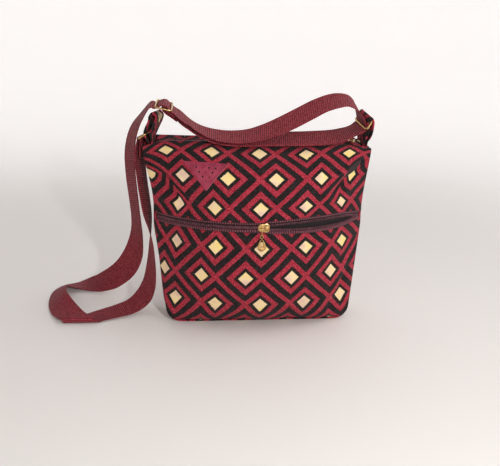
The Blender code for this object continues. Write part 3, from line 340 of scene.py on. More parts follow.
# Geometry helpers


def lerp(a, b, t):
    return a + (b - a) * t


def smooth_step(t):
    t = min(1.0, max(0.0, t))
    return t * t * (3 - 2 * t)


def spread(low, high, count):
    """Evenly spaced values with both ends among them."""
    return [lerp(low, high, i / (count - 1)) for i in range(count)]


def run_length(places):
    return sum((b - a).length for a, b in zip(places, places[1:]))


def finish_piece(piece, material, body, *nodes):
    """Gives a piece its finish, its body and the solids that it stands for."""
    if not piece.data.materials:
        piece.data.materials.append(material)
    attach(piece, body)
    if nodes:
        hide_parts(*nodes)


def link_object(name, data):
    piece = bpy.data.objects.new(name, data)
    bpy.context.scene.collection.objects.link(piece)
    return piece


def solid_mesh(name, points, faces, uvs=None, sharp=50):
    """A mesh object; uvs are millimetres on the cloth, one pair a point."""
    mesh = bpy.data.meshes.new(name)
    mesh.from_pydata([tuple(p) for p in points], [], faces)
    if uvs:
        layer = mesh.uv_layers.new(name="cloth")
        for loop in mesh.loops:
            layer.data[loop.index].uv = uvs[loop.vertex_index]
    mesh.shade_smooth()
    mesh.set_sharp_from_angle(angle=radians(sharp))
    return link_object(name, mesh)


def closed_mesh(name, points, faces, uvs=None, sharp=40):
    """A mesh object whose faces are all turned outward."""
    piece = solid_mesh(name, points, faces, uvs, sharp)
    work = bmesh.new()
    work.from_mesh(piece.data)
    bmesh.ops.recalc_face_normals(work, faces=work.faces)
    work.to_mesh(piece.data)
    work.free()
    return piece


def skin(rings, sides, cyclic=False):
    """Faces over rings of points, shut at both ends unless the last ring joins the first."""
    faces = []
    for a in range(rings if cyclic else rings - 1):
        b = (a + 1) % rings
        for k in range(sides):
            m = (k + 1) % sides
            faces.append((a * sides + k, a * sides + m, b * sides + m, b * sides + k))
    if not cyclic:
        faces.append(tuple(reversed(range(sides))))
        faces.append(tuple(range((rings - 1) * sides, rings * sides)))
    return faces


def cloth_sheet(name, node, rows, uv_rows, material=WEAVE, flip=False):
    """An open sheet that stands for a node, made solid towards its inside."""
    columns = len(rows[0])
    faces = []
    for r in range(len(rows) - 1):
        for a in range(r * columns, (r + 1) * columns - 1):
            face = (a, a + 1, a + columns + 1, a + columns)
            faces.append(face[::-1] if flip else face)
    piece = solid_mesh(name, sum(rows, []), faces, sum(uv_rows, []))
    solid = piece.modifiers.new("thickness", "SOLIDIFY")
    solid.thickness = SHEET_THICKNESS[material]
    solid.offset = -1.0
    if material is WEAVE:
        soft = piece.modifiers.new("soft_edge", "BEVEL")
        soft.width = SOFT_EDGE
        soft.segments = 2
        soft.limit_method = "ANGLE"
        soft.angle_limit = radians(50)
    finish_piece(piece, material, "bag", node)


def flat_uvs(rows, start=(0.0, 0.0)):
    """Distances along each row and up the middle column, in millimetres."""
    uv_rows = []
    middle = len(rows[0]) // 2
    up = 0.0
    for r, row in enumerate(rows):
        if r:
            up += (row[middle] - rows[r - 1][middle]).length * 1000
        runs = [0.0]
        for a, b in zip(row, row[1:]):
            runs.append(runs[-1] + (b - a).length * 1000)
        uv_rows.append([(start[0] + run - runs[middle], start[1] + up) for run in runs])
    return uv_rows


def wire(name, points, radius, cyclic=False, sides=4):
    """A round wire through points."""
    curve = bpy.data.curves.new(name, "CURVE")
    curve.dimensions = "3D"
    curve.bevel_depth = radius
    curve.bevel_resolution = sides
    curve.use_fill_caps = not cyclic
    spline = curve.splines.new("POLY")
    spline.points.add(len(points) - 1)
    for slot, point in zip(spline.points, points):
        slot.co = (*point, 1.0)
    spline.use_cyclic_u = cyclic
    return link_object(name, curve)


# Shape of the bag

TOP_HALF = TOP_WIDTH / 2
FLAT_LOW = FRONT_ZIP_HEIGHT - ZIP_FLAT_HALF
FLAT_HIGH = FRONT_ZIP_HEIGHT + ZIP_FLAT_HALF
UPPER_EDGE = FRONT_ZIP_HEIGHT + ZIP_MOUTH_HALF
ZIP_END = 0.004


def level_share(z):
    """Share of the way up, which stands still across the front zipper."""
    share = FRONT_ZIP_HEIGHT / BAG_HEIGHT
    if z < FLAT_LOW:
        return z / FLAT_LOW * share
    if z > FLAT_HIGH:
        return lerp(share, 1.0, (z - FLAT_HIGH) / (BAG_HEIGHT - FLAT_HIGH))
    return share


def half_width(z):
    width = lerp(BASE_WIDTH, TOP_WIDTH, level_share(z)) / 2
    if z < CORNER_RADIUS:
        width -= CORNER_RADIUS - sqrt(max(0.0, CORNER_RADIUS**2 - (CORNER_RADIUS - z) ** 2))
    return width


def half_depth(z):
    return lerp(BASE_DEPTH, TOP_DEPTH, level_share(z)) / 2


ZIP_HALF_CHORD = half_width(FRONT_ZIP_HEIGHT)
ZIP_RADIUS = (ZIP_HALF_CHORD**2 + FRONT_CROWN**2) / (2 * FRONT_CROWN)
ZIP_HALF_ANGLE = asin(ZIP_HALF_CHORD / ZIP_RADIUS)
ZIP_CENTRE_Y = ZIP_RADIUS - FRONT_CROWN - half_depth(FRONT_ZIP_HEIGHT)
SLIDER_ANGLE = asin(FRONT_SLIDER_X / ZIP_RADIUS)
OPEN_RUN = ZIP_RADIUS * (ZIP_HALF_ANGLE - SLIDER_ANGLE) - ZIP_END


def crown_share(z):
    """Share of the front's crown at a height: full at the zipper, nothing at the bottom seam."""
    t = 0.0
    if z < FLAT_LOW:
        t = (FLAT_LOW - z) / (FLAT_LOW - SEAM_LIFT)
    elif z > FLAT_HIGH:
        t = (z - FLAT_HIGH) / (BAG_HEIGHT - FLAT_HIGH) * sqrt(1 - RIM_CROWN_SHARE**2)
    return sqrt(max(0.0, 1 - t * t))


def arc_share(angle):
    """Share of a crown at an angle along its arc."""
    edge = cos(ZIP_HALF_ANGLE)
    return (cos(angle) - edge) / (1 - edge)


def arc_x(angle, z):
    return half_width(z) * sin(angle) / sin(ZIP_HALF_ANGLE)


def arc_angle(x, half):
    """The angle that arc_x turns into x where the bag is half wide."""
    return asin(x / half * sin(ZIP_HALF_ANGLE))


def front_point(angle, z):
    y = -half_depth(z) - FRONT_CROWN * crown_share(z) * arc_share(angle)
    return Vector((arc_x(angle, z), y, z))


def back_point(angle, z):
    rise = sin(pi * min(1.0, z / BAG_HEIGHT)) ** 0.7
    return Vector((arc_x(angle, z), half_depth(z) + BACK_CROWN * rise * arc_share(angle), z))


def outward(surface, angle, z, step=1e-4):
    """Direction out of a surface at a place on it."""
    across = surface(angle + step, z) - surface(angle - step, z)
    up = surface(angle, z + step) - surface(angle, z - step)
    return across.cross(up).normalized()


# How far each top front corner flares out and drops, and where along the rim that starts
CORNER_SAG = {-1: (0.0050, 0.0105, 0.115), 1: (0.0020, 0.0050, 0.125)}
# The sag comes in over these heights, and over this depth in front of the middle
SAG_START, SAG_RISE, SAG_DEPTH = 0.190, 0.075, 0.024
# The bottom edge stands up in its middle: by how much, how far up, and over what half width
BOTTOM_LIFT, BOTTOM_REACH, BOTTOM_HALF = 0.0026, 0.030, 0.125


def sag(point, z):
    """Where soft cloth settles: tilted rim, drooping front corners, raised bottom edge."""
    side = -1 if point.x < 0 else 1
    flare, drop, start = CORNER_SAG[side]
    front = smooth_step(-point.y / SAG_DEPTH)
    far = max(0.0, (abs(point.x) - start) / (TOP_HALF - start)) ** 2
    far *= smooth_step((z - SAG_START) / SAG_RISE) * front
    bottom = smooth_step(1 - z / BOTTOM_REACH) * max(0.0, 1 - (point.x / BOTTOM_HALF) ** 2)
    tilt = -RIM_TILT * point.x / TOP_HALF * max(0.0, (z - FLAT_HIGH) / (BAG_HEIGHT - FLAT_HIGH))
    return point + Vector((side * flare * far, 0, tilt + BOTTOM_LIFT * bottom * front - drop * far))


# Half the zippers' opening: it starts just before the slider's middle and reaches SLIDER_GAPE
# over GAPE_RUN; the front one then bulges by MOUTH_GAPE more and shuts over MOUTH_SHUT
GAPE_START, SLIDER_GAPE, GAPE_RUN = 0.001, 0.002, 0.008
MOUTH_GAPE, MOUTH_SHUT = 0.0025, 0.040
# The fabric closes in on the zipper near its ends, where the slider has stopped: by how much, from
# what share of the half angle, and over what share
PINCH, PINCH_START, PINCH_RUN = 0.0030, 0.935, 0.065
# Height and set-back of the cloth that rolls over the rim
ROLL_HEIGHT, ROLL_DEPTH = 0.005, 0.0040


def slider_gape(run):
    return SLIDER_GAPE * smooth_step((run + GAPE_START) / GAPE_RUN)


def front_gape(angle):
    run = ZIP_RADIUS * (angle - SLIDER_ANGLE)
    t = min(1.0, max(0.0, (run - GAPE_RUN) / (OPEN_RUN - GAPE_RUN)))
    shut = smooth_step((OPEN_RUN - run) / MOUTH_SHUT)
    return (slider_gape(run) + MOUTH_GAPE * sin(pi * t)) * shut


def zip_pinch(angle):
    return PINCH * smooth_step((abs(angle) / ZIP_HALF_ANGLE - PINCH_START) / PINCH_RUN)


def rim_roll(below):
    t = max(0.0, 1 - below / ROLL_HEIGHT)
    return ROLL_DEPTH * (1 - sqrt(max(0.0, 1 - t * t)))


# Creases and hollows of the soft front: (x, z) from, (x, z) to, half width, depth, in metres
CREASES = [
    ((-0.140, 0.215), (-0.090, 0.186), 0.008, 0.0016),
    ((0.150, 0.215), (0.118, 0.190), 0.007, 0.0022),
    ((-0.050, 0.262), (0.060, 0.258), 0.010, 0.0022),
    ((-0.135, 0.140), (-0.085, 0.105), 0.010, 0.0024),
    ((0.140, 0.118), (0.108, 0.098), 0.009, 0.0032),
    ((0.136, 0.092), (0.120, 0.060), 0.007, 0.0030),
    ((-0.128, 0.060), (-0.098, 0.020), 0.009, 0.0024),
    ((0.128, 0.055), (0.100, 0.020), 0.009, 0.0026),
    ((-0.060, 0.020), (0.070, 0.018), 0.010, 0.0018),
]

# Folds that swallow cloth: (x, z) at the corner, (x, z) at the end, depth, and hidden millimetres
FOLDS = [
    ((0.160, 0.262), (0.088, 0.203), 0.0056, 15.0),
    ((-0.167, 0.259), (-0.086, 0.186), 0.0046, -13.0),
]
# A fold's valley lies just below its line, steep above and gentle below; a roll stands over it
VALLEY_AT, VALLEY_STEEP, VALLEY_GENTLE = 0.001, 0.0035, 0.010
ROLL_AT, ROLL_HALF, ROLL_SHARE = 0.0085, 0.0055, 0.45
# Shares of a fold's length over which it opens at the corner and runs out at its end
FOLD_IN, FOLD_OUT = 0.15, 0.35
# The pattern slips into a fold over the first distance, and comes out again over the second
TUCK_RUN, TUCK_REACH = 0.012, 0.034

# How full a crease is at its ends, and how creases fade in above and below the front zipper
CREASE_END = 0.15
CREASE_RISE, CREASE_START = 0.02, 0.3

# Slow swells of the filling: height, then waves and start along X, and the same up the bag
FRONT_SWELL = (0.0009, 71, 1.3, 53, 0.4)
BACK_SWELL = (0.0012, 47, 0.7, 39, 1.1)


def fold_place(x, z, start, end):
    """Distance below a fold, and how full it is at that share of its way."""
    (x0, z0), (x1, z1) = start, end
    dx, dz = x1 - x0, z1 - z0
    size = hypot(dx, dz)
    t = ((x - x0) * dx + (z - z0) * dz) / size**2
    below = abs((x - x0) * dz - (z - z0) * dx) / size
    if (z - z0) - dz / dx * (x - x0) > 0:
        below = -below
    return below, smooth_step(t / FOLD_IN) * smooth_step((1 - t) / FOLD_OUT)


def crease_depth(x, z):
    depth = 0.0
    for (x0, z0), (x1, z1), width, deep in CREASES:
        dx, dz = x1 - x0, z1 - z0
        t = min(1.0, max(0.0, ((x - x0) * dx + (z - z0) * dz) / (dx * dx + dz * dz)))
        gap = hypot(x - x0 - t * dx, z - z0 - t * dz)
        depth += deep * exp(-(gap / width) ** 2) * sin(pi * (CREASE_END + (1 - 2 * CREASE_END) * t))
    for start, end, deep, _ in FOLDS:
        below, full = fold_place(x, z, start, end)
        width = VALLEY_STEEP if below < VALLEY_AT else VALLEY_GENTLE
        depth += deep * full * exp(-((below - VALLEY_AT) / width) ** 2)
        depth -= ROLL_SHARE * deep * full * exp(-((below + ROLL_AT) / ROLL_HALF) ** 2)
    return depth


def tuck(x, z):
    """Millimetres of pattern that the folds swallow on the way from the front's middle."""
    total = 0.0
    for start, end, _, hidden in FOLDS:
        below, full = fold_place(x, z, start, end)
        fade = exp(-(max(0.0, below) / TUCK_REACH) ** 2)
        total += hidden * full * fade * smooth_step(below / TUCK_RUN)
    return total


def swell_height(swell, point):
    height, x_waves, x_start, z_waves, z_start = swell
    return height * sin(x_waves * point.x + x_start) * sin(z_waves * point.z + z_start)


def edge_share(angle, steepness):
    """Fades a form out at the side seams."""
    return min(1.0, (1 - abs(angle) / ZIP_HALF_ANGLE) * steepness)


def soft_front(angle, z, shift=0.0):
    """The front as it really hangs: tilted rim, creases, and a slow swell of the filling."""
    point = front_point(angle, z)
    level = smooth_step(abs(z - FRONT_ZIP_HEIGHT) / CREASE_RISE - CREASE_START)
    height = swell_height(FRONT_SWELL, point) - crease_depth(point.x, z)
    point += outward(front_point, angle, z) * (height * edge_share(angle, 8) * level)
    point = sag(point, z)
    point.z += shift
    return point


# The pattern as cut, in millimetres: its start along each front panel, how far an even row lies
# from the zipper, and the step between rows
UPPER_START_MM, UPPER_ROW_MM, UPPER_ROW_STEP_MM = 2.3, 18.0, 40.2
LOWER_START_MM, LOWER_ROW_MM, LOWER_ROW_STEP_MM = 22.0, 69.5, 46.0
# The weave is stretched beside the zipper and slack 45 mm away, and its last rows turn under the bag
STRETCH, SLACK, SLACK_RUN_MM = 1.034, 0.985, 45
UNDER_SHARE = 0.68


def front_uv(angle, z, row_start, start, rows):
    """Millimetres along the weave, matched to the rows that the cloth shows."""
    along = run_length([front_point(angle * i / 16, z) for i in range(17)])
    up = run_length([front_point(0.0, height) for height in spread(row_start, z, 25)])
    along, up = copysign(along, angle) * 1000, copysign(up, z - row_start) * 1000
    stretch = lerp(STRETCH, SLACK, min(1.0, abs(up) / SLACK_RUN_MM))
    return along * stretch + start + tuck(arc_x(angle, z), z), rows(up)


def upper_rows(up):
    return (up - UPPER_ROW_MM) * DIAMOND_ROW_MM / UPPER_ROW_STEP_MM


def lower_rows(up):
    row = (up + LOWER_ROW_MM) / LOWER_ROW_STEP_MM
    if row < -1.0:
        row = -1.0 + (row + 1.0) * UNDER_SHARE
    return row * DIAMOND_ROW_MM


def front_panel(name, side, node):
    edge = FRONT_ZIP_HEIGHT + side * ZIP_MOUTH_HALF
    if side > 0:
        heights = [lerp(edge, BAG_HEIGHT, sin(pi / 2 * i / 56) ** 0.9) for i in range(57)]
        weave = (edge, UPPER_START_MM, upper_rows)
    else:
        heights = [lerp(SEAM_LIFT, edge, t * t * 0.25 + t * 0.75) for t in spread(0.0, 1.0, 57)]
        weave = (edge, LOWER_START_MM, lower_rows)
    angles = spread(-ZIP_HALF_ANGLE, ZIP_HALF_ANGLE, 151)
    rows = []
    for z in heights:
        fade = smooth_step(1 - abs(z - edge) / (2 * ZIP_FLAT_HALF))
        row = [soft_front(a, z, side * fade * (front_gape(a) - zip_pinch(a))) for a in angles]
        for point in row:
            point.y += rim_roll(BAG_HEIGHT - z)
        rows.append(row)
    uv_rows = [[front_uv(a, z, *weave) for a in angles] for z in heights]
    cloth_sheet(name, node, rows, uv_rows)


front_panel("upper_front_cloth", 1, "front_panel_upper")
front_panel("lower_front_cloth", -1, "front_panel_lower")


def back_cloth():
    rows = []
    for z in spread(SEAM_LIFT, BAG_HEIGHT, 41):
        row = []
        for angle in spread(ZIP_HALF_ANGLE, -ZIP_HALF_ANGLE, 61):
            point = back_point(angle, z)
            point.y += swell_height(BACK_SWELL, point) * edge_share(angle, 6)
            row.append(sag(point, z))
        rows.append(row)
    cloth_sheet("back_cloth", "back_panel", rows, flat_uvs(rows, (12.0, 9.0)))


back_cloth()

# The side strips bulge between their seams and roll in at them, with slight ripples
SEAM_INSET = 0.0006
GUSSET_BULGE, GUSSET_ROLL, GUSSET_RIPPLE = 0.0030, 0.0012, 0.0008


def gusset_cloth(name, side, node):
    """Side strip, which follows the rounded bottom corner."""
    heights = [CORNER_RADIUS * (1 - cos(radians(d))) for d in range(0, 90, 9)]
    heights += spread(CORNER_RADIUS, BAG_HEIGHT - 0.005, 45)
    rows = []
    for z in heights:
        full = smooth_step(z / CORNER_RADIUS - 0.5)
        row = []
        for v in spread(-1, 1, 25):
            bulge = (GUSSET_BULGE * (1 - v * v) - GUSSET_ROLL * v**8) * full
            ripple = GUSSET_RIPPLE * sin(60 * z + 2 * v) * (1 - v * v) * full
            x = side * (half_width(z) + bulge + ripple)
            row.append(sag(Vector((x, v * (half_depth(z) - SEAM_INSET), z)), z))
        rows.append(row)
    cloth_sheet(name, node, rows, flat_uvs(rows, (6.0, 15.0)), flip=side < 0)


gusset_cloth("left_gusset_cloth", -1, "gusset_left")
gusset_cloth("right_gusset_cloth", 1, "gusset_right")


def base_cloth():
    half = BASE_WIDTH / 2 - CORNER_RADIUS
    depths = [v * (BASE_DEPTH / 2 - SEAM_INSET) for v in spread(1, -1, 13)]
    rows = [[Vector((x, y, 0.0)) for x in spread(-half, half, 41)] for y in depths]
    cloth_sheet("base_cloth", "base_panel", rows, flat_uvs(rows))


base_cloth()

# The strips beside the top zipper dip between their seams, and stop short of the rolled rim
STRIP_DIP, STRIP_SINK = 0.0010, 0.0003
STRIP_INSET, ROLL_INSET = 0.0009, 0.0036


def rim_strip(name, side, node):
    """Fabric from the rim to the top zipper; in front its pattern runs on from the panel."""
    rows, uv_rows = [], []
    for i in range(15):
        share = (i / 14) ** 0.6
        dip = STRIP_DIP * sin(pi * share)
        row, uvs = [], []
        for x in spread(-STRIP_HALF_LENGTH, STRIP_HALF_LENGTH, 91):
            angle = arc_angle(x, TOP_HALF)
            if side < 0:
                rim = soft_front(angle, BAG_HEIGHT)
                far = abs(rim.y) - STRIP_INSET - ROLL_INSET
                u, v = front_uv(angle, BAG_HEIGHT, UPPER_EDGE, UPPER_START_MM, upper_rows)
                uvs.append((u, v + (1 - share) * (far - ZIP_MOUTH_HALF) * 1000))
            else:
                rim = sag(back_point(angle, BAG_HEIGHT), BAG_HEIGHT)
                far = abs(rim.y) - STRIP_INSET
            z = lerp(STRIP_TOP - dip, rim.z - STRIP_SINK - dip, smooth_step(share))
            row.append(Vector((x, side * lerp(ZIP_MOUTH_HALF, far, share), z)))
        rows.append(row)
        uv_rows.append(uvs)
    if side > 0:
        uv_rows = flat_uvs(rows, (0.0, 20.0))
    cloth_sheet(name, node, rows, uv_rows, flip=side < 0)


rim_strip("front_rim_cloth", -1, "top_strip_front")
rim_strip("back_rim_cloth", 1, "top_strip_back")

# The linings hang clear of the fabric and start below the rim
LINING_GAP = 0.0012
LINING_TOP = BAG_HEIGHT - 0.026
POCKET_LOW = 0.028
POCKET_SHARE = 0.93
# The main lining's front hangs at a share of the crown, gathered at the bottom, and set back
LINING_SHARE, GATHER_SHARE, LINING_SETBACK = 0.86, 0.45, 0.0062
# Fine ripples: height, and waves along X and up
POCKET_RIPPLE = (0.0004, 90, 30)
LINING_RIPPLE = (0.0006, 140, 25)


def ripple_height(ripple, point):
    height, x_waves, z_waves = ripple
    return height * sin(x_waves * point.x + z_waves * point.z)


def pocket_back_cloth():
    """Lining wall of the front pocket, seen in the zipper's open mouth."""
    rows = []
    for i, z in enumerate(spread(POCKET_LOW, LINING_TOP, 31)):
        belly = sin(pi * i / 30) ** 0.5
        row = []
        for v in spread(-1, 1, 61):
            angle = v * ZIP_HALF_ANGLE * POCKET_SHARE
            point = front_point(angle, z)
            inset = FABRIC + LINING_GAP + POCKET_DEPTH * belly * arc_share(angle)
            inset += ripple_height(POCKET_RIPPLE, point)
            row.append(point - outward(front_point, angle, z) * inset)
        rows.append(row)
    cloth_sheet("pocket_back_cloth", "pocket_lining", rows, flat_uvs(rows), LINING_CLOTH)


pocket_back_cloth()


def loose_lining():
    """The main lining's open bag."""
    low = FABRIC + 0.002
    inset = FABRIC + 0.003 + LINING_GAP
    rows = []
    for i, z in enumerate(spread(low, LINING_TOP, 25)):
        narrow = (half_width(z) - inset) / half_width(z)
        share = LINING_SHARE if i else GATHER_SHARE
        row = []
        for angle in spread(-ZIP_HALF_ANGLE, ZIP_HALF_ANGLE, 49):
            point = front_point(angle, z)
            y = point.y * share + LINING_SETBACK + (POCKET_DEPTH + LINING_GAP) * arc_share(angle)
            y = min(y + ripple_height(LINING_RIPPLE, point), -inset)
            row.append(Vector((point.x * narrow, y, z)))
        for angle in spread(ZIP_HALF_ANGLE, -ZIP_HALF_ANGLE, 33):
            point = back_point(angle, z)
            row.append(Vector((point.x * narrow, point.y - inset, z)))
        row.append(row[0].copy())
        rows.append(row)
    floor = [Vector((p.x * 0.6, (p.y - 0.01) * 0.5 + 0.01, low)) for p in rows[0]]
    centre = [Vector((p.x * 0.05, 0.0, low)) for p in rows[0]]
    rows = [centre, floor] + rows
    cloth_sheet("main_lining_cloth", "main_lining", rows, flat_uvs(rows), LINING_CLOTH)


loose_lining()


# Zippers: places by distance along the zipper, across it, and out of it

FRONT_RUN = ZIP_RADIUS * ZIP_HALF_ANGLE - ZIP_END
TOP_RUN = STRIP_HALF_LENGTH - ZIP_END
TOOTH_PITCH = 0.0015
TOOTH_MIDDLE, TOOTH_HALF = 0.0009, 0.0014
COIL_HALF_HEIGHT, COIL_RADIUS = 0.0006, 0.00032
COIL_SIDES = 8

# Across a zipper tape, from the coil out: distance from the middle, and height of its fat rib
TAPE_PROFILE = [
    (0.0012, 0.0), (0.0036, 0.0), (0.0038, 0.0005), (0.0041, 0.0014), (0.0047, 0.0020),
    (0.0055, 0.0022), (0.0062, 0.0020), (0.0067, 0.0013), (0.0068, 0.0003), (0.0070, -0.0002),
    (0.0075, 0.0), (0.0140, 0.0),
]


def front_track(along, across, out):
    angle = along / ZIP_RADIUS
    radius = ZIP_RADIUS - FABRIC - COIL_BASE + out
    y = ZIP_CENTRE_Y - radius * cos(angle)
    return Vector((radius * sin(angle), y, FRONT_ZIP_HEIGHT + across))


def top_track(along, across, out):
    return Vector((along, across, STRIP_TOP - FABRIC - COIL_BASE + out))


def front_opening(s):
    return front_gape(s / ZIP_RADIUS)


def top_opening(s):
    return slider_gape(s - TOP_SLIDER_X)


def tape_cloth(name, node, side, track, half_run, opening):
    rows, uv_rows = [], []
    places = spread(-half_run, half_run, 161)
    for across, rise in TAPE_PROFILE:
        rows.append([track(s, side * (across + opening(s)), TAPE + rise) for s in places])
        uv_rows.append([(s * 1000, across * 1000) for s in places])
    cloth_sheet(name, node, rows, uv_rows, ZIP_TAPE, flip=side < 0)


def coil_wire(name, node, side, track, half_run, opening):
    """Nylon monofilament wound round the tape's edge, meshing with its mate across the middle."""
    turns = int(2 * half_run / TOOTH_PITCH) - 1
    shift = TOOTH_PITCH / 2 if side < 0 else 0.0
    points = []
    for i in range(turns * COIL_SIDES + 1):
        turn = 2 * pi * i / COIL_SIDES
        s = -half_run + shift + TOOTH_PITCH * i / COIL_SIDES
        across = TOOTH_MIDDLE + TOOTH_HALF * cos(turn)
        out = (COIL_BASE + COIL_TOP) / 2 + COIL_HALF_HEIGHT * sin(turn)
        points.append(track(s, side * (across + opening(s)), out))
    finish_piece(wire(name, points, COIL_RADIUS, sides=1), COIL, "bag", node)


for zipper, halves, way in (
    ("front", ("upper", "lower"), (front_track, FRONT_RUN, front_opening)),
    ("top", ("back", "front"), (top_track, TOP_RUN, top_opening)),
):
    for side, half in zip((1, -1), halves):
        tape_cloth(f"{zipper}_tape_cloth_{half}", f"{zipper}_zip_tape_{half}", side, *way)
        coil_wire(f"{zipper}_coil_wire_{half}", f"{zipper}_zip_coil_{half}", side, *way)


# Straps and metal


def spline_point(a, b, c, d, t):
    """A point from b to c on the smooth curve through all four."""
    bend, twist = 2 * a - 5 * b + 4 * c - d, 3 * b - 3 * c + d - a
    return 0.5 * (2 * b + (c - a) * t + bend * t**2 + twist * t**3)


def smooth_route(route, steps):
    """Stations on a smooth curve through a route of places and ways across."""
    last = len(route) - 1
    out = []
    for i in range(last):
        picks = [route[j] for j in (max(0, i - 1), i, i + 1, min(last, i + 2))]
        for k in range(steps[i]):
            out.append(tuple(spline_point(*line, k / steps[i]) for line in zip(*picks)))
    out.append(route[-1])
    return out


# Section of a band, in shares of its half width and half thickness, with a bead along each edge
FACE_PROFILE = [
    (-1.0, 0.0), (-0.99, 0.6), (-0.96, 1.0), (-0.86, 0.86), (-0.5, 0.92), (0.0, 0.95), (0.5, 0.92),
    (0.86, 0.86), (0.96, 1.0), (0.99, 0.6),
]
EDGE_PROFILE = FACE_PROFILE + [(-u, -v) for u, v in FACE_PROFILE]


def band(name, stations, thickness):
    """A band with rolled edges through stations, with millimetres along and across it as UV."""
    points, uvs = [], []
    run_mm = 0.0
    last = len(stations) - 1
    for i, (place, across) in enumerate(stations):
        if i:
            run_mm += (place - stations[i - 1][0]).length * 1000
        run = (stations[min(last, i + 1)][0] - stations[max(0, i - 1)][0]).normalized()
        across = across.normalized()
        out = run.cross(across)
        half = STRAP_WIDTH / 2 / out.length
        out.normalize()
        for u, v in EDGE_PROFILE:
            points.append(place + across * (u * half) + out * (v * thickness / 2))
            uvs.append((run_mm, u * STRAP_WIDTH * 500))
    return closed_mesh(name, points, skin(len(stations), len(EDGE_PROFILE)), uvs, sharp=70)


# Each ring: its inner bar, the way of its bars, and its lean from the outer bar to the inner one
LEFT_CORNER = Vector((-TOP_WIDTH / 2, 0, BAG_HEIGHT))
RIGHT_CORNER = Vector((TOP_WIDTH / 2, 0, BAG_HEIGHT))
LEFT_BAR_RUN = Vector((0.20, 0.98, 0.0)).normalized()
LEFT_RING_LEAN = Vector((0.0115, -0.0010, 0.0070))
LEFT_INNER_BAR = LEFT_CORNER + Vector((0.00487, -0.00122, 0.01127))
RIGHT_BAR_RUN = Vector((-0.17, 0.96, 0.215)).normalized()
RIGHT_RING_LEAN = Vector((0.0071, -0.0024, 0.0109))
RIGHT_INNER_BAR = RIGHT_CORNER + Vector((-0.00439, -0.00606, 0.0328))


def ring_reach(run, lean):
    """Direction from a ring's outer bar to its inner one, square to both."""
    return (lean - run * lean.dot(run)).normalized()


LEFT_BAR = LEFT_INNER_BAR - ring_reach(LEFT_BAR_RUN, LEFT_RING_LEAN) * RING_BAR_SPACING
RIGHT_BAR = RIGHT_INNER_BAR - ring_reach(RIGHT_BAR_RUN, RIGHT_RING_LEAN) * RING_BAR_SPACING

# Tabs, by distance from the bag's corner along X and above the rim
LEFT_TAB = [
    (0.0042, -0.0132), (0.0038, -0.0040), (0.0020, 0.0045), (0.0016, 0.0120), (0.0046, 0.0210),
    (0.0082, 0.0280), (0.0098, 0.0350), (0.0140, 0.0398), (0.0188, 0.0345), (0.0170, 0.0270),
    (0.0130, 0.0190), (0.0092, 0.0110), (0.0086, 0.0020), (0.0090, -0.0132),
]
RIGHT_TAB = [
    (-0.0090, -0.0132), (-0.0088, -0.0040), (-0.0076, 0.0060), (-0.0063, 0.0150), (-0.0062, 0.0222),
    (-0.0087, 0.0312), (-0.0046, 0.0372), (-0.0007, 0.0320), (-0.0004, 0.0240), (-0.0010, 0.0160),
    (-0.0024, 0.0075), (-0.0040, -0.0020), (-0.0042, -0.0132),
]
RIGHT_TAB_LEAN = 0.22
TAB_TURN_START = -0.002
TAB_TURN_RUN = 0.014


def tab_cloth(name, corner, outline, bar_run, lean, node):
    """A folded strip of fabric standing on the end of the bag, its width turning with its ring."""
    route = []
    for along, rise in outline:
        turn = smooth_step((rise - TAB_TURN_START) / TAB_TURN_RUN)
        place = corner + Vector((along, -lean * max(0.0, rise), rise))
        route.append((place, Vector((0, 1, 0)).lerp(bar_run, turn)))
    piece = band(name, smooth_route(route, [8] * (len(route) - 1)), TAB_THICKNESS)
    finish_piece(piece, WEAVE, "bag", node)


tab_cloth("left_tab_cloth", LEFT_CORNER, LEFT_TAB, LEFT_BAR_RUN, 0.0, "tab_left")
tab_cloth("right_tab_cloth", RIGHT_CORNER, RIGHT_TAB, RIGHT_BAR_RUN, RIGHT_TAB_LEAN, "tab_right")

# Clearance between the strap's edges and the wire of the rings and the adjuster
EDGE_GAP = 0.0010
RING_BEND = 0.0035
ADJUSTER_BEND = 0.0028
ADJUSTER_REACH = 0.0122 - ADJUSTER_WIRE


def quarter(first):
    """Cosine and sine in nine steps over a quarter turn."""
    turns = [radians(first + 11.25 * k) for k in range(9)]
    return [(cos(t), sin(t)) for t in turns]


def ring_wire(name, bar, inner, run, body, node):
    """A rectangular ring bent from round wire."""
    reach = (inner - bar).normalized()
    half = STRAP_WIDTH / 2 + RING_WIRE + EDGE_GAP
    points = []
    corners = ((bar, 1, 1, -90), (inner, 1, -1, 0), (inner, -1, -1, 90), (bar, -1, 1, 180))
    for centre, u, v, first in corners:
        bend = centre + run * (u * (half - RING_BEND)) + reach * (v * RING_BEND)
        for c, s in quarter(first):
            points.append(bend + run * (RING_BEND * c) + reach * (RING_BEND * s))
    finish_piece(wire(name, points, RING_WIRE, cyclic=True), GOLD, body, node)


ring_wire("left_ring_wire", LEFT_BAR, LEFT_INNER_BAR, LEFT_BAR_RUN, "left_ring", "ring_left")
ring_wire("right_ring_wire", RIGHT_BAR, RIGHT_INNER_BAR, RIGHT_BAR_RUN, "right_ring", "ring_right")

ADJUSTER_PLACE = LEFT_CORNER + Vector((0.0269, -0.0151, 0.0502))
ADJUSTER_RUN = Vector((0.972, 0.04, -0.225)).normalized()
ADJUSTER_ACROSS = Vector((-0.008, 0.985, 0.14))
ADJUSTER_ACROSS -= ADJUSTER_RUN * ADJUSTER_ACROSS.dot(ADJUSTER_RUN)
ADJUSTER_ACROSS.normalize()
ADJUSTER_BAR = ADJUSTER_WIRE * 0.9


def adjuster_place(along, out):
    return ADJUSTER_PLACE + ADJUSTER_RUN * along + ADJUSTER_RUN.cross(ADJUSTER_ACROSS) * out


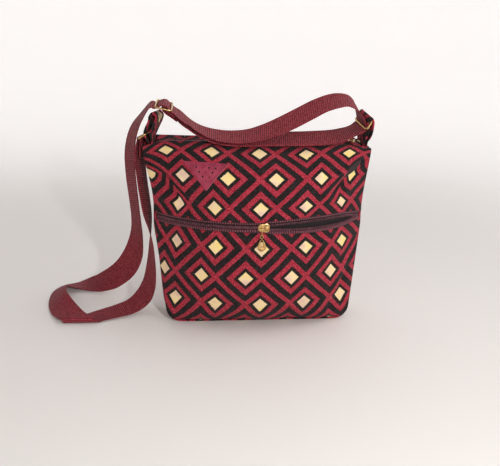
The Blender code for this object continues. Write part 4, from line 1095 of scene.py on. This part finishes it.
def adjuster_frame():
    """Sliding buckle: a rounded wire frame with a bar across its middle."""
    half = STRAP_WIDTH / 2 + ADJUSTER_WIRE + EDGE_GAP
    points = []
    for u, v, first in ((1, 1, 0), (-1, 1, 90), (-1, -1, 180), (1, -1, 270)):
        for c, s in quarter(first):
            along = u * (ADJUSTER_REACH - ADJUSTER_BEND) + ADJUSTER_BEND * c
            wide = v * (half - ADJUSTER_BEND) + ADJUSTER_BEND * s
            points.append(ADJUSTER_PLACE + ADJUSTER_RUN * along + ADJUSTER_ACROSS * wide)
    outer = wire("adjuster_frame_wire", points, ADJUSTER_WIRE, cyclic=True)
    finish_piece(outer, GOLD, "adjuster", "strap_adjuster")
    ends = [ADJUSTER_PLACE + ADJUSTER_ACROSS * (side * half) for side in (-1, 1)]
    finish_piece(wire("adjuster_bar_wire", ends, ADJUSTER_BAR), GOLD, "adjuster")


adjuster_frame()


def wrap_points(bar, run, first, last, count):
    """Places of the strap round a ring's bar, over these degrees."""
    side = Vector((1, 0, 0))
    side = (side - run * side.dot(run)).normalized()
    up = side.cross(run)
    up = up if up.z > 0 else -up
    turns = [radians(t) for t in spread(first, last, count)]
    return [(bar + side * (WRAP_RADIUS * cos(t)) + up * (WRAP_RADIUS * sin(t)), run) for t in turns]


WRAP_GAP = 0.0003
WRAP_RADIUS = RING_WIRE + WRAP_GAP + STRAP_THICKNESS / 2

# From the left ring, down beside the bag, round on the floor and up to the adjuster:
# distance past the bag's left corner, depth, and share of the bag's height
HANGING_ROUTE = [
    ((-0.0112, 0.0010, 0.9485), (0.26, 0.95, -0.05)),
    ((-0.0115, 0.0010, 0.8824), (0.26, 0.92, -0.20)),
    ((-0.0100, 0.0010, 0.7904), (0.26, 0.92, -0.25)),
    ((-0.0075, 0.0010, 0.6985), (0.26, 0.94, -0.23)),
    ((-0.0045, 0.0010, 0.5956), (0.20, 0.94, -0.22)),
    ((-0.0015, 0.0010, 0.5074), (-0.02, 0.97, -0.20)),
    ((-0.0010, 0.0010, 0.4265), (-0.22, 0.93, -0.20)),
    ((-0.0015, 0.0010, 0.3456), (-0.34, 0.92, -0.12)),
    ((-0.0035, 0.0040, 0.2574), (-0.46, 0.88, 0.00)),
    ((-0.0080, 0.0080, 0.1691), (-0.54, 0.82, 0.10)),
    ((-0.0190, 0.0110, 0.0882), (-0.58, 0.78, 0.16)),
    ((-0.0370, 0.0085, 0.0368), (-0.44, 0.88, 0.18)),
    ((-0.0600, 0.0010, 0.0191), (-0.32, 0.94, 0.10)),
    ((-0.0830, -0.0085, 0.0096), (-0.50, 0.86, 0.02)),
    ((-0.0965, -0.0180, 0.0059), (-0.78, 0.50, 0.00)),
    ((-0.1055, -0.0275, 0.0059), (-1.00, 0.05, 0.00)),
    ((-0.1084, -0.0303, 0.0096), (-1.00, 0.00, 0.00)),
    ((-0.1105, -0.0315, 0.0184), (-1.00, 0.00, 0.00)),
    ((-0.1126, -0.0303, 0.0272), (-1.00, 0.00, 0.00)),
    ((-0.1155, -0.0275, 0.0316), (-1.00, -0.05, 0.00)),
    ((-0.1260, -0.0160, 0.0338), (-0.88, -0.40, -0.08)),
    ((-0.1410, 0.0040, 0.0412), (-0.84, -0.38, -0.40)),
    ((-0.1540, 0.0280, 0.0533), (-0.75, -0.05, -0.60)),
    ((-0.1610, 0.0560, 0.0515), (-0.70, 0.20, -0.56)),
    ((-0.1620, 0.0820, 0.0434), (-0.60, 0.52, -0.40)),
    ((-0.1530, 0.1020, 0.0272), (-0.50, 0.78, -0.22)),
    ((-0.1370, 0.1110, 0.0147), (-0.36, 0.92, -0.05)),
    ((-0.1190, 0.1080, 0.0257), (-0.34, 0.92, 0.12)),
    ((-0.0970, 0.0980, 0.0551), (-0.40, 0.82, 0.32)),
    ((-0.0730, 0.0850, 0.1103), (-0.52, 0.52, 0.60)),
    ((-0.0510, 0.0720, 0.1912), (-0.66, 0.34, 0.60)),
    ((-0.0360, 0.0620, 0.2941), (-0.72, 0.56, 0.32)),
    ((-0.0290, 0.0540, 0.4118), (-0.58, 0.80, 0.02)),
    ((-0.0280, 0.0490, 0.5221), (-0.46, 0.86, -0.16)),
    ((-0.0295, 0.0440, 0.6471), (-0.45, 0.86, -0.20)),
    ((-0.0310, 0.0380, 0.7721), (-0.47, 0.86, -0.18)),
    ((-0.0305, 0.0320, 0.8897), (-0.47, 0.86, -0.14)),
    ((-0.0260, 0.0220, 0.9853), (-0.40, 0.90, -0.02)),
    ((-0.0182, 0.0110, 1.0588), (-0.30, 0.93, 0.06)),
    ((-0.0078, 0.0000, 1.1158), (-0.14, 0.95, 0.12)),
]

# From the adjuster over the bag's top to the right ring, which it goes round:
# share of the half width, depth, and height above the rim
UPPER_ROUTE = [
    ((-0.6258, -0.0262, 0.0299), (-0.03, 0.99, 0.11)),
    ((-0.5472, -0.0305, 0.0218), (0.00, 0.99, 0.13)),
    ((-0.4717, -0.0335, 0.0162), (0.01, 0.98, 0.19)),
    ((-0.3774, -0.0350, 0.0118), (0.01, 0.96, 0.27)),
    ((-0.2642, -0.0367, 0.0096), (0.03, 0.95, 0.31)),
    ((-0.1195, -0.0380, 0.0105), (0.06, 0.93, 0.36)),
    ((0.0220, -0.0380, 0.0158), (0.08, 0.89, 0.44)),
    ((0.1717, -0.0368, 0.0247), (0.12, 0.84, 0.52)),
    ((0.3145, -0.0345, 0.0348), (0.15, 0.81, 0.56)),
    ((0.4623, -0.0311, 0.0460), (0.18, 0.82, 0.54)),
    ((0.6176, -0.0249, 0.0552), (0.22, 0.87, 0.43)),
    ((0.7585, -0.0160, 0.0570), (0.20, 0.93, 0.31)),
    ((0.8239, -0.0125, 0.0538), (0.12, 0.95, 0.28)),
    ((0.8774, -0.0095, 0.0465), (0.00, 0.96, 0.25)),
    ((0.9170, -0.0065, 0.0345), (-0.13, 0.96, 0.22)),
]

# Back from the right ring under the upper layer to the sewn end on the adjuster's bar
LOWER_ROUTE = [
    ((0.8805, -0.0080, 0.0158), (-0.14, 0.96, 0.18)),
    ((0.7987, -0.0135, 0.0112), (-0.02, 0.95, 0.24)),
    ((0.6541, -0.0230, 0.0070), (0.08, 0.92, 0.34)),
    ((0.4340, -0.0330, 0.0065), (0.08, 0.92, 0.37)),
    ((0.2201, -0.0365, 0.0065), (0.06, 0.92, 0.38)),
    ((0.0314, -0.0370, 0.0065), (0.06, 0.92, 0.38)),
    ((-0.1509, -0.0372, 0.0058), (0.04, 0.93, 0.36)),
    ((-0.3019, -0.0360, 0.0062), (0.02, 0.95, 0.31)),
    ((-0.4151, -0.0342, 0.0088), (0.01, 0.97, 0.24)),
    ((-0.5346, -0.0308, 0.0160), (0.00, 0.98, 0.17)),
    ((-0.6352, -0.0255, 0.0255), (-0.02, 0.98, 0.12)),
]

ADJUSTER_OVER = [(-0.0190, -0.0036), (-0.0135, -0.0030), (-0.0085, -0.0012), (-0.0045, 0.0026),
                 (0.0, 0.0042), (0.0045, 0.0026), (0.0085, -0.0012), (0.0135, -0.0033),
                 (0.0185, -0.0058)]
ADJUSTER_IN = [(0.0200, -0.0096), (0.0130, -0.0066), (0.0082, -0.0044), (0.0044, -0.0018)]
ADJUSTER_TAIL = [(0.0016, -0.0044), (0.0062, -0.0072), (0.0130, -0.0098), (0.0215, -0.0138)]


def beside_bag(route):
    left = TOP_WIDTH / 2
    return [((past - left, y, share * BAG_HEIGHT), across) for (past, y, share), across in route]


def over_bag(route):
    half = TOP_WIDTH / 2
    return [((share * half, y, BAG_HEIGHT + rise), across) for (share, y, rise), across in route]


def strap_stations():
    """The strap's middle and way across, from its end at the left ring to that at the adjuster."""
    hanging = (0, 0, -0.0265), (0.0007, 0, -0.0095)
    tail = [(LEFT_BAR + Vector(drop), LEFT_BAR_RUN) for drop in hanging]
    radius = ADJUSTER_BAR + WRAP_GAP + STRAP_THICKNESS / 2
    turns = [radians(t) for t in range(0, 241, 30)]
    turn = [(radius * cos(t), radius * sin(t)) for t in turns]
    over, under = (
        [(adjuster_place(a, o), ADJUSTER_ACROSS) for a, o in places]
        for places in (ADJUSTER_OVER, ADJUSTER_IN + turn + ADJUSTER_TAIL)
    )
    route = tail + wrap_points(LEFT_BAR, LEFT_BAR_RUN, -30, 200, 9) + beside_bag(HANGING_ROUTE)
    route += over + over_bag(UPPER_ROUTE) + wrap_points(RIGHT_BAR, RIGHT_BAR_RUN, 40, -110, 6)
    route += over_bag(LOWER_ROUTE) + under
    route = [(Vector(p), Vector(w)) for p, w in route]
    gaps = [(b[0] - a[0]).length for a, b in zip(route, route[1:])]
    return smooth_route(route, [2 if gap < 0.007 else 4 if gap < 0.016 else 7 for gap in gaps])


def strap_band(stations):
    piece = band("webbing_strap", stations, STRAP_THICKNESS)
    finish_piece(piece, WEBBING, "bag", "strap")


# Seams that hold the strap's folded ends: stitches across it, on both faces
SEAM_RUNS = (0.006, 0.012)
SEAM_STITCHES = 9
SEAM_SHARE = 0.82
STITCH_SHARE = 0.78
THREAD_HALF = 0.0004
# The strap's own run lies against each folded end somewhere beyond this far from it
MATE_RUNS = [0.030 + 0.001 * i for i in range(50)]


def station_at(stations, run):
    for (a, across), (b, _) in zip(stations, stations[1:]):
        step = (b - a).length
        if run <= step:
            return a.lerp(b, run / step), across.normalized(), (b - a).normalized()
        run -= step


def seam_row(place, across, along, away):
    """Start, end and outward way of each stitch in one row, on the face turned from a point."""
    out = along.cross(across).normalized()
    out = out if out.dot(place - away) > 0 else -out
    face = place + out * (STRAP_THICKNESS / 2)
    pitch = STRAP_WIDTH * SEAM_SHARE / SEAM_STITCHES
    starts = [face + across * (pitch * (i - SEAM_STITCHES / 2)) for i in range(SEAM_STITCHES)]
    return [(start, start + across * (pitch * STITCH_SHARE), out) for start in starts]


def stitches(name, seats):
    """Each stitch is a spindle of thread that lies on the webbing."""
    points, faces = [], []
    for start, end, out in seats:
        first = len(points)
        middle = (start + end) / 2
        side = (end - start).cross(out).normalized() * THREAD_HALF
        points += [start, end, middle + side, middle - side, middle + out * THREAD_HALF]
        corners = ((0, 2, 4), (0, 4, 3), (0, 3, 2), (1, 4, 2), (1, 3, 4), (1, 2, 3))
        faces += [tuple(first + k for k in corner) for corner in corners]
    finish_piece(solid_mesh(name, points, faces), THREAD, "bag")


def strap_seams(stations):
    for name, line in (("ring", stations), ("adjuster", stations[::-1])):
        seats = []
        for run in SEAM_RUNS:
            tail, across, along = station_at(line, run)
            mates = [station_at(line, far) for far in MATE_RUNS]
            mate = min(mates, key=lambda station: (station[0] - tail).length)
            seats += seam_row(tail, across, along, mate[0]) + seam_row(*mate, tail)
        stitches("strap_seam_at_" + name, seats)


STATIONS = strap_stations()
strap_band(STATIONS)
strap_seams(STATIONS)


# Leather patch: an inverted triangle with rows of punched holes

PATCH_WIDTH = 0.060
PATCH_HEIGHT = 0.038
PATCH_THICKNESS = 0.0012
PATCH_CENTRE_X = -0.075
PATCH_TOP_DROP = 0.0232
PATCH_LIFT = 0.0003
PATCH_CUT = 0.0025
HOLE_ROWS = 4
HOLE_STEP, HOLE_ROW_STEP, HOLE_TOP = 0.0088, 0.0063, 0.0070
HOLE_RADIUS = 0.00145
DROP_STEP = 0.0002
TABLE_MM = 60


def patch_place(x, drop, out=0.0):
    z = BAG_HEIGHT - PATCH_TOP_DROP - drop
    angle = arc_angle(PATCH_CENTRE_X + x, half_width(z))
    return soft_front(angle, z) + outward(soft_front, angle, z, 1e-3) * out


def drop_table():
    """Height below the patch's top at each millimetre along the curved cloth."""
    table = [0.0]
    travelled = drop = 0.0
    here = patch_place(0, 0)
    while len(table) < TABLE_MM:
        drop += DROP_STEP
        there = patch_place(0, drop)
        travelled += (there - here).length
        here = there
        if travelled >= 0.001 * len(table):
            table.append(drop)
    return table


def flat_patch():
    """The patch as cut, in small cells so that it can bend."""
    half, height = PATCH_WIDTH / 2, PATCH_HEIGHT
    work = bmesh.new()
    outline = [
        (-half + 0.0012, 0), (half - 0.0012, 0), (half - 0.0004, -0.0010),
        (0.0012, -height + 0.0008), (0, -height), (-0.0012, -height + 0.0008),
        (-half + 0.0004, -0.0010),
    ]
    face = work.faces.new([work.verts.new((x, y, 0)) for x, y in outline])
    if face.normal.z < 0:
        face.normal_flip()
    grown = bmesh.ops.extrude_face_region(work, geom=[face])
    lifted = [v for v in grown["geom"] if isinstance(v, bmesh.types.BMVert)]
    bmesh.ops.translate(work, verts=lifted, vec=(0, 0, PATCH_THICKNESS))
    bmesh.ops.recalc_face_normals(work, faces=work.faces)
    for way, low, high in ((Vector((1, 0, 0)), -half, half), (Vector((0, 1, 0)), -height, 0)):
        count = int((high - low) / PATCH_CUT)
        for place in spread(low, high, count + 1)[1:-1]:
            geometry = work.verts[:] + work.edges[:] + work.faces[:]
            bmesh.ops.bisect_plane(work, geom=geometry, plane_co=way * place, plane_no=way)
    return work


def punches():
    work = bmesh.new()
    for row in range(HOLE_ROWS):
        for k in range(HOLE_ROWS - row):
            x = (k - (HOLE_ROWS - 1 - row) / 2) * HOLE_STEP
            place = Matrix.Translation((x, -HOLE_TOP - row * HOLE_ROW_STEP, 0))
            bmesh.ops.create_cone(
                work, cap_ends=True, segments=20, radius1=HOLE_RADIUS, radius2=HOLE_RADIUS,
                depth=0.01, matrix=place)
    return work


def bmesh_object(name, work):
    mesh = bpy.data.meshes.new(name)
    work.to_mesh(mesh)
    work.free()
    return link_object(name, mesh)


def leather_patch():
    """The cut and punched patch, laid on the curved cloth, with raw leather on its cut edges."""
    patch = bmesh_object("leather_patch_skin", flat_patch())
    cutter = bmesh_object("punch", punches())
    cut = patch.modifiers.new("holes", "BOOLEAN")
    cut.operation = "DIFFERENCE"
    cut.solver = "EXACT"
    cut.object = cutter
    graph = bpy.context.evaluated_depsgraph_get()
    mesh = bpy.data.meshes.new_from_object(patch.evaluated_get(graph))
    patch.modifiers.clear()
    patch.data = mesh
    bpy.data.objects.remove(cutter, do_unlink=True)
    mesh.materials.clear()
    mesh.materials.append(LEATHER)
    mesh.materials.append(RAW_EDGE)
    for polygon in mesh.polygons:
        polygon.material_index = 1 if abs(polygon.normal.z) < 0.5 else 0
    table = drop_table()
    for vertex in mesh.vertices:
        down = min(TABLE_MM - 1.5, max(0.0, -vertex.co.y * 1000))
        drop = lerp(table[int(down)], table[int(down) + 1], down - int(down))
        vertex.co = patch_place(vertex.co.x, drop, PATCH_LIFT + vertex.co.z)
    mesh.shade_smooth()
    mesh.set_sharp_from_angle(angle=radians(45))
    finish_piece(patch, LEATHER, "bag", "leather_patch")


leather_patch()


# Sliders and pulls, each in its own frame: X along the zipper, Y across it, Z outward

PLATE_LOW = COIL_TOP + 0.0004
PLATE_HIGH = PLATE_LOW + 0.0009
BRIDGE_TOP = PLATE_HIGH + 0.0026
LINK_X = -0.0028
LINK_HALF_HEIGHT = 0.0062
LINK_HALF_DEPTH = 0.0022
LINK_RADIUS = 0.00055
LINK_Y = 0.0014 - LINK_HALF_HEIGHT
LINK_Z = BRIDGE_TOP + 0.0002
EYE_Y = LINK_Y - LINK_HALF_HEIGHT - LINK_RADIUS
TOP_DROP_TILT = radians(6)


def tube(points, radius, cyclic=False, sides=10):
    """Points and faces of a round wire, each section square to its run."""
    made = []
    count = len(points)
    last_side = Vector((0.31, 0.17, 0.93))
    for i, place in enumerate(points):
        before = points[i - 1] if cyclic or i else place
        after = points[(i + 1) % count] if cyclic or i < count - 1 else place
        run = (after - before).normalized()
        side = (last_side - run * last_side.dot(run)).normalized()
        last_side = side
        up = run.cross(side)
        for k in range(sides):
            t = 2 * pi * k / sides
            made.append(place + side * (radius * cos(t)) + up * (radius * sin(t)))
    return made, skin(count, sides, cyclic)


def cushion(outline, low, high, edge, swell):
    """Points and faces of a plate with rounded edges whose top swells to its middle."""
    centre = sum(outline, Vector((0, 0, 0))) / len(outline)
    inset = 1 - edge / max((p - centre).length for p in outline)
    levels = [
        (0.4, low), (inset, low), (1.0, low + edge), (1.0, high - edge),
        (lerp(1, inset, 0.35), high - edge * 0.3),
    ]
    for share in (inset, 0.8, 0.6, 0.4, 0.2):
        levels.append((share, high + swell * (1 - share * share / inset / inset)))
    made = []
    for share, z in levels:
        made += [centre + (p - centre) * share + Vector((0, 0, z)) for p in outline]
    return made, skin(len(levels), len(outline))


def limb_ring(outer, inner, thickness, sides=10):
    """Points and faces of a rounded ring that fills the space between two outlines."""
    made = []
    for o, i in zip(outer, inner):
        for k in range(sides):
            t = 2 * pi * k / sides
            made.append(o.lerp(i, (1 - cos(t)) / 2) + Vector((0, 0, thickness / 2 * sin(t))))
    return made, skin(len(outer), sides, cyclic=True)


def casting(name, shapes, place, body, node):
    """One metal piece from several shapes, in the frame of its zipper."""
    points, faces = [], []
    for made, sides in shapes:
        faces += [tuple(len(points) + k for k in face) for face in sides]
        points += [place @ p for p in made]
    finish_piece(closed_mesh(name, points, faces), GOLD, body, node)


def rounded(corners, steps=6):
    """A closed smooth outline through corners."""
    count = len(corners)
    out = []
    for i in range(count):
        picks = [Vector((*corners[(i + k) % count], 0)) for k in (-1, 0, 1, 2)]
        out += [spline_point(*picks, k / steps) for k in range(steps)]
    return out


def oval(x, y, wide, high, count=28):
    turns = [2 * pi * i / count for i in range(count)]
    return [Vector((x + wide * cos(t), y + high * sin(t), 0)) for t in turns]


def slider_shapes():
    """Face plate with a rounded tail and wide shoulders, back plate, post, dome, seat, bridge."""
    half_outline = [
        (-0.0078, 0.0000), (-0.0072, 0.0034), (-0.0045, 0.0054), (0.0, 0.0060), (0.0046, 0.0062),
        (0.0074, 0.0040),
    ]
    corners = half_outline + [(0.0080, 0.0)] + [(x, -y) for x, y in reversed(half_outline[1:])]
    foot = PLATE_HIGH - 0.0004
    plate = cushion(rounded(corners), PLATE_LOW, PLATE_HIGH, 0.0004, 0.0007)
    back = cushion(rounded([(x, y * 0.85) for x, y in corners]), -0.0013, -0.0004, 0.0003, 0.0)
    post = cushion(oval(0.0060, 0, 0.0010, 0.0007), -0.0008, PLATE_LOW + 0.0003, 0.0001, 0.0)
    dome = cushion(oval(0.0037, 0, 0.0039, 0.0043), foot, PLATE_HIGH + 0.0009, 0.0005, 0.0016)
    seat = cushion(oval(-0.0030, 0, 0.0042, 0.0046), foot, PLATE_HIGH + 0.0005, 0.0003, 0.0003)
    turns = [pi * i / 16 for i in range(17)]
    arch = [Vector((LINK_X + 0.0030 * cos(t), 0, foot + 0.0030 * sin(t) ** 0.6)) for t in turns]
    return [plate, back, post, dome, seat, tube(arch, 0.0006)]


def link_shapes():
    points = []
    for t in [2 * pi * i / 36 for i in range(36)]:
        y, z = LINK_Y + LINK_HALF_HEIGHT * cos(t), LINK_Z + LINK_HALF_DEPTH * sin(t)
        points.append(Vector((LINK_X, y, z)))
    return [tube(points, LINK_RADIUS, cyclic=True)]


def drop_shapes():
    """Teardrop charm: an eye, and two limbs that part round a slit and meet in a heavy foot."""
    outer, inner = [], []
    for t in [2 * pi * i / 48 for i in range(48)]:
        # Pointed at the top, round at the foot
        narrow = sin(t) * sin(t / 2) ** 0.9
        outer.append(Vector((0.0070 * narrow, -0.0114 + 0.0093 * cos(t), 0)))
        inner.append(Vector((0.0028 * narrow, -0.0094 + 0.0058 * cos(t), 0)))
    charm = limb_ring(outer, inner, 0.0020)
    foot = cushion(oval(0.0, -0.0163, 0.0026, 0.0022), -0.0011, 0.0006, 0.0004, 0.0006)
    eye = limb_ring(oval(0, 0, 0.0027, 0.0027), oval(0, 0, 0.0016, 0.0016), 0.0013)
    return [charm, foot, eye]


def zipper_hardware(prefix, place, tilt):
    pin = Vector((LINK_X, LINK_Y - LINK_HALF_HEIGHT, LINK_Z))
    tip = Matrix.Translation(pin) @ Matrix.Rotation(tilt, 4, "X") @ Matrix.Translation(-pin)
    hang = place @ (tip @ Matrix.Translation((LINK_X, EYE_Y, LINK_Z)))
    for piece, shapes, frame_of, part in (
        ("slider_casting", slider_shapes(), place, "slider"),
        ("link_wire", link_shapes(), place, "pull_link"),
        ("drop_charm", drop_shapes(), hang, "pull_drop"),
    ):
        casting(f"{prefix}_{piece}", shapes, frame_of, f"{prefix}_{part}", f"{prefix}_zip_{part}")


FRONT_MIDDLE = Matrix.Translation(front_track(SLIDER_ANGLE * ZIP_RADIUS, 0, 0))
FRONT_MIDDLE = FRONT_MIDDLE @ Matrix.Rotation(SLIDER_ANGLE, 4, "Z")
zipper_hardware("front", FRONT_MIDDLE @ Matrix.Rotation(pi / 2, 4, "X"), 0.0)
zipper_hardware("top", Matrix.Translation(top_track(TOP_SLIDER_X, 0, 0)), TOP_DROP_TILT)


# Floor, backdrop, light and camera


# A white table that curves up into a pale wall all round, so that every side is seen against the
# same light: distance from the bag and height
SWEEP = [
    (1.15, 0.0), (1.40, 0.012), (1.65, 0.060), (1.88, 0.160), (2.06, 0.320), (2.16, 0.540),
    (2.20, 0.850), (2.22, 2.700),
]
TABLE_GAP = 0.0002


def studio_sweep():
    count = 64
    turns = [2 * pi * i / count for i in range(count)]
    points = [(0.0, 0.0, -TABLE_GAP)]
    for radius, z in SWEEP:
        points += [(radius * cos(t), radius * sin(t), z - TABLE_GAP) for t in turns]
    faces = [(0, 1 + i, 1 + (i + 1) % count) for i in range(count)]
    for ring in range(len(SWEEP) - 1):
        low, high = 1 + ring * count, 1 + (ring + 1) * count
        for i in range(count):
            j = (i + 1) % count
            faces.append((low + i, high + i, high + j, low + j))
    mesh = bpy.data.meshes.new("studio_sweep")
    mesh.from_pydata(points, [], faces)
    mesh.shade_smooth()
    mesh.materials.append(self_glowing_board())
    link_object("studio_sweep", mesh)


studio_sweep()


def area_light(name, place, target, size, power, colour):
    data = bpy.data.lights.new(name, "AREA")
    data.shape = "DISK"
    data.size = size
    data.energy = power
    data.color = hex_colour(colour)[:3]
    light = link_object(name, data)
    light.location = place
    light.rotation_euler = (Vector(target) - Vector(place)).to_track_quat("-Z", "Y").to_euler()


area_light("window_light", (0.30, -1.18, 0.60), (0, 0, 0.15), 0.055, 7.4, "FFFEFC")
area_light("ceiling_bounce", (0.85, -0.35, 1.7), (0, 0, 0), 1.3, 5.8, "FFFFFF")


def studio_world():
    """The open sky over the sweep: white, dim at the sides and brighter overhead."""
    world = bpy.data.worlds.new("studio")
    world.use_nodes = True
    bpy.context.scene.world = world
    sky = world.node_tree
    room = sky.nodes["Background"]
    facing = add_node(sky, "TexCoord").node.outputs["Generated"]
    height = add_node(sky, "SeparateXYZ", {0: facing}).node.outputs[2]
    rise = add_node(sky, "MapRange", {0: height, 1: -0.2, 2: 0.7, 3: 0.10, 4: 0.30})
    sky.links.new(rise, room.inputs["Strength"])
    room.inputs["Color"].default_value = hex_colour("FFFFFF")


studio_world()

FOCAL_PX, FRAME_PX, SENSOR_MM = 621.0, 500.0, 36.0
CAMERA_DISTANCE = 0.9075


def add_camera():
    """Camera matched to the outline, the zipper and the woven rows; the picture is 500 by 466."""
    elevation, yaw, roll = radians(17.42), radians(3.39), radians(0.34)
    target = Vector((-0.0127, -0.0300, 0.1399))
    back = Vector((-sin(yaw) * cos(elevation), -cos(yaw) * cos(elevation), sin(elevation)))
    right = (-back).cross(Vector((0, 0, 1))).normalized()
    up = right.cross(-back)
    tilted_right = right * cos(roll) + up * sin(roll)
    tilted_up = up * cos(roll) - right * sin(roll)
    turn = Matrix((tilted_right, tilted_up, back)).transposed().to_4x4()
    data = bpy.data.cameras.new("camera")
    data.sensor_width = SENSOR_MM
    data.lens = FOCAL_PX / FRAME_PX * SENSOR_MM
    camera = link_object("camera", data)
    camera.matrix_world = Matrix.Translation(target + back * CAMERA_DISTANCE) @ turn
    bpy.context.scene.camera = camera


add_camera()
bpy.context.scene.view_settings.view_transform = "Standard"
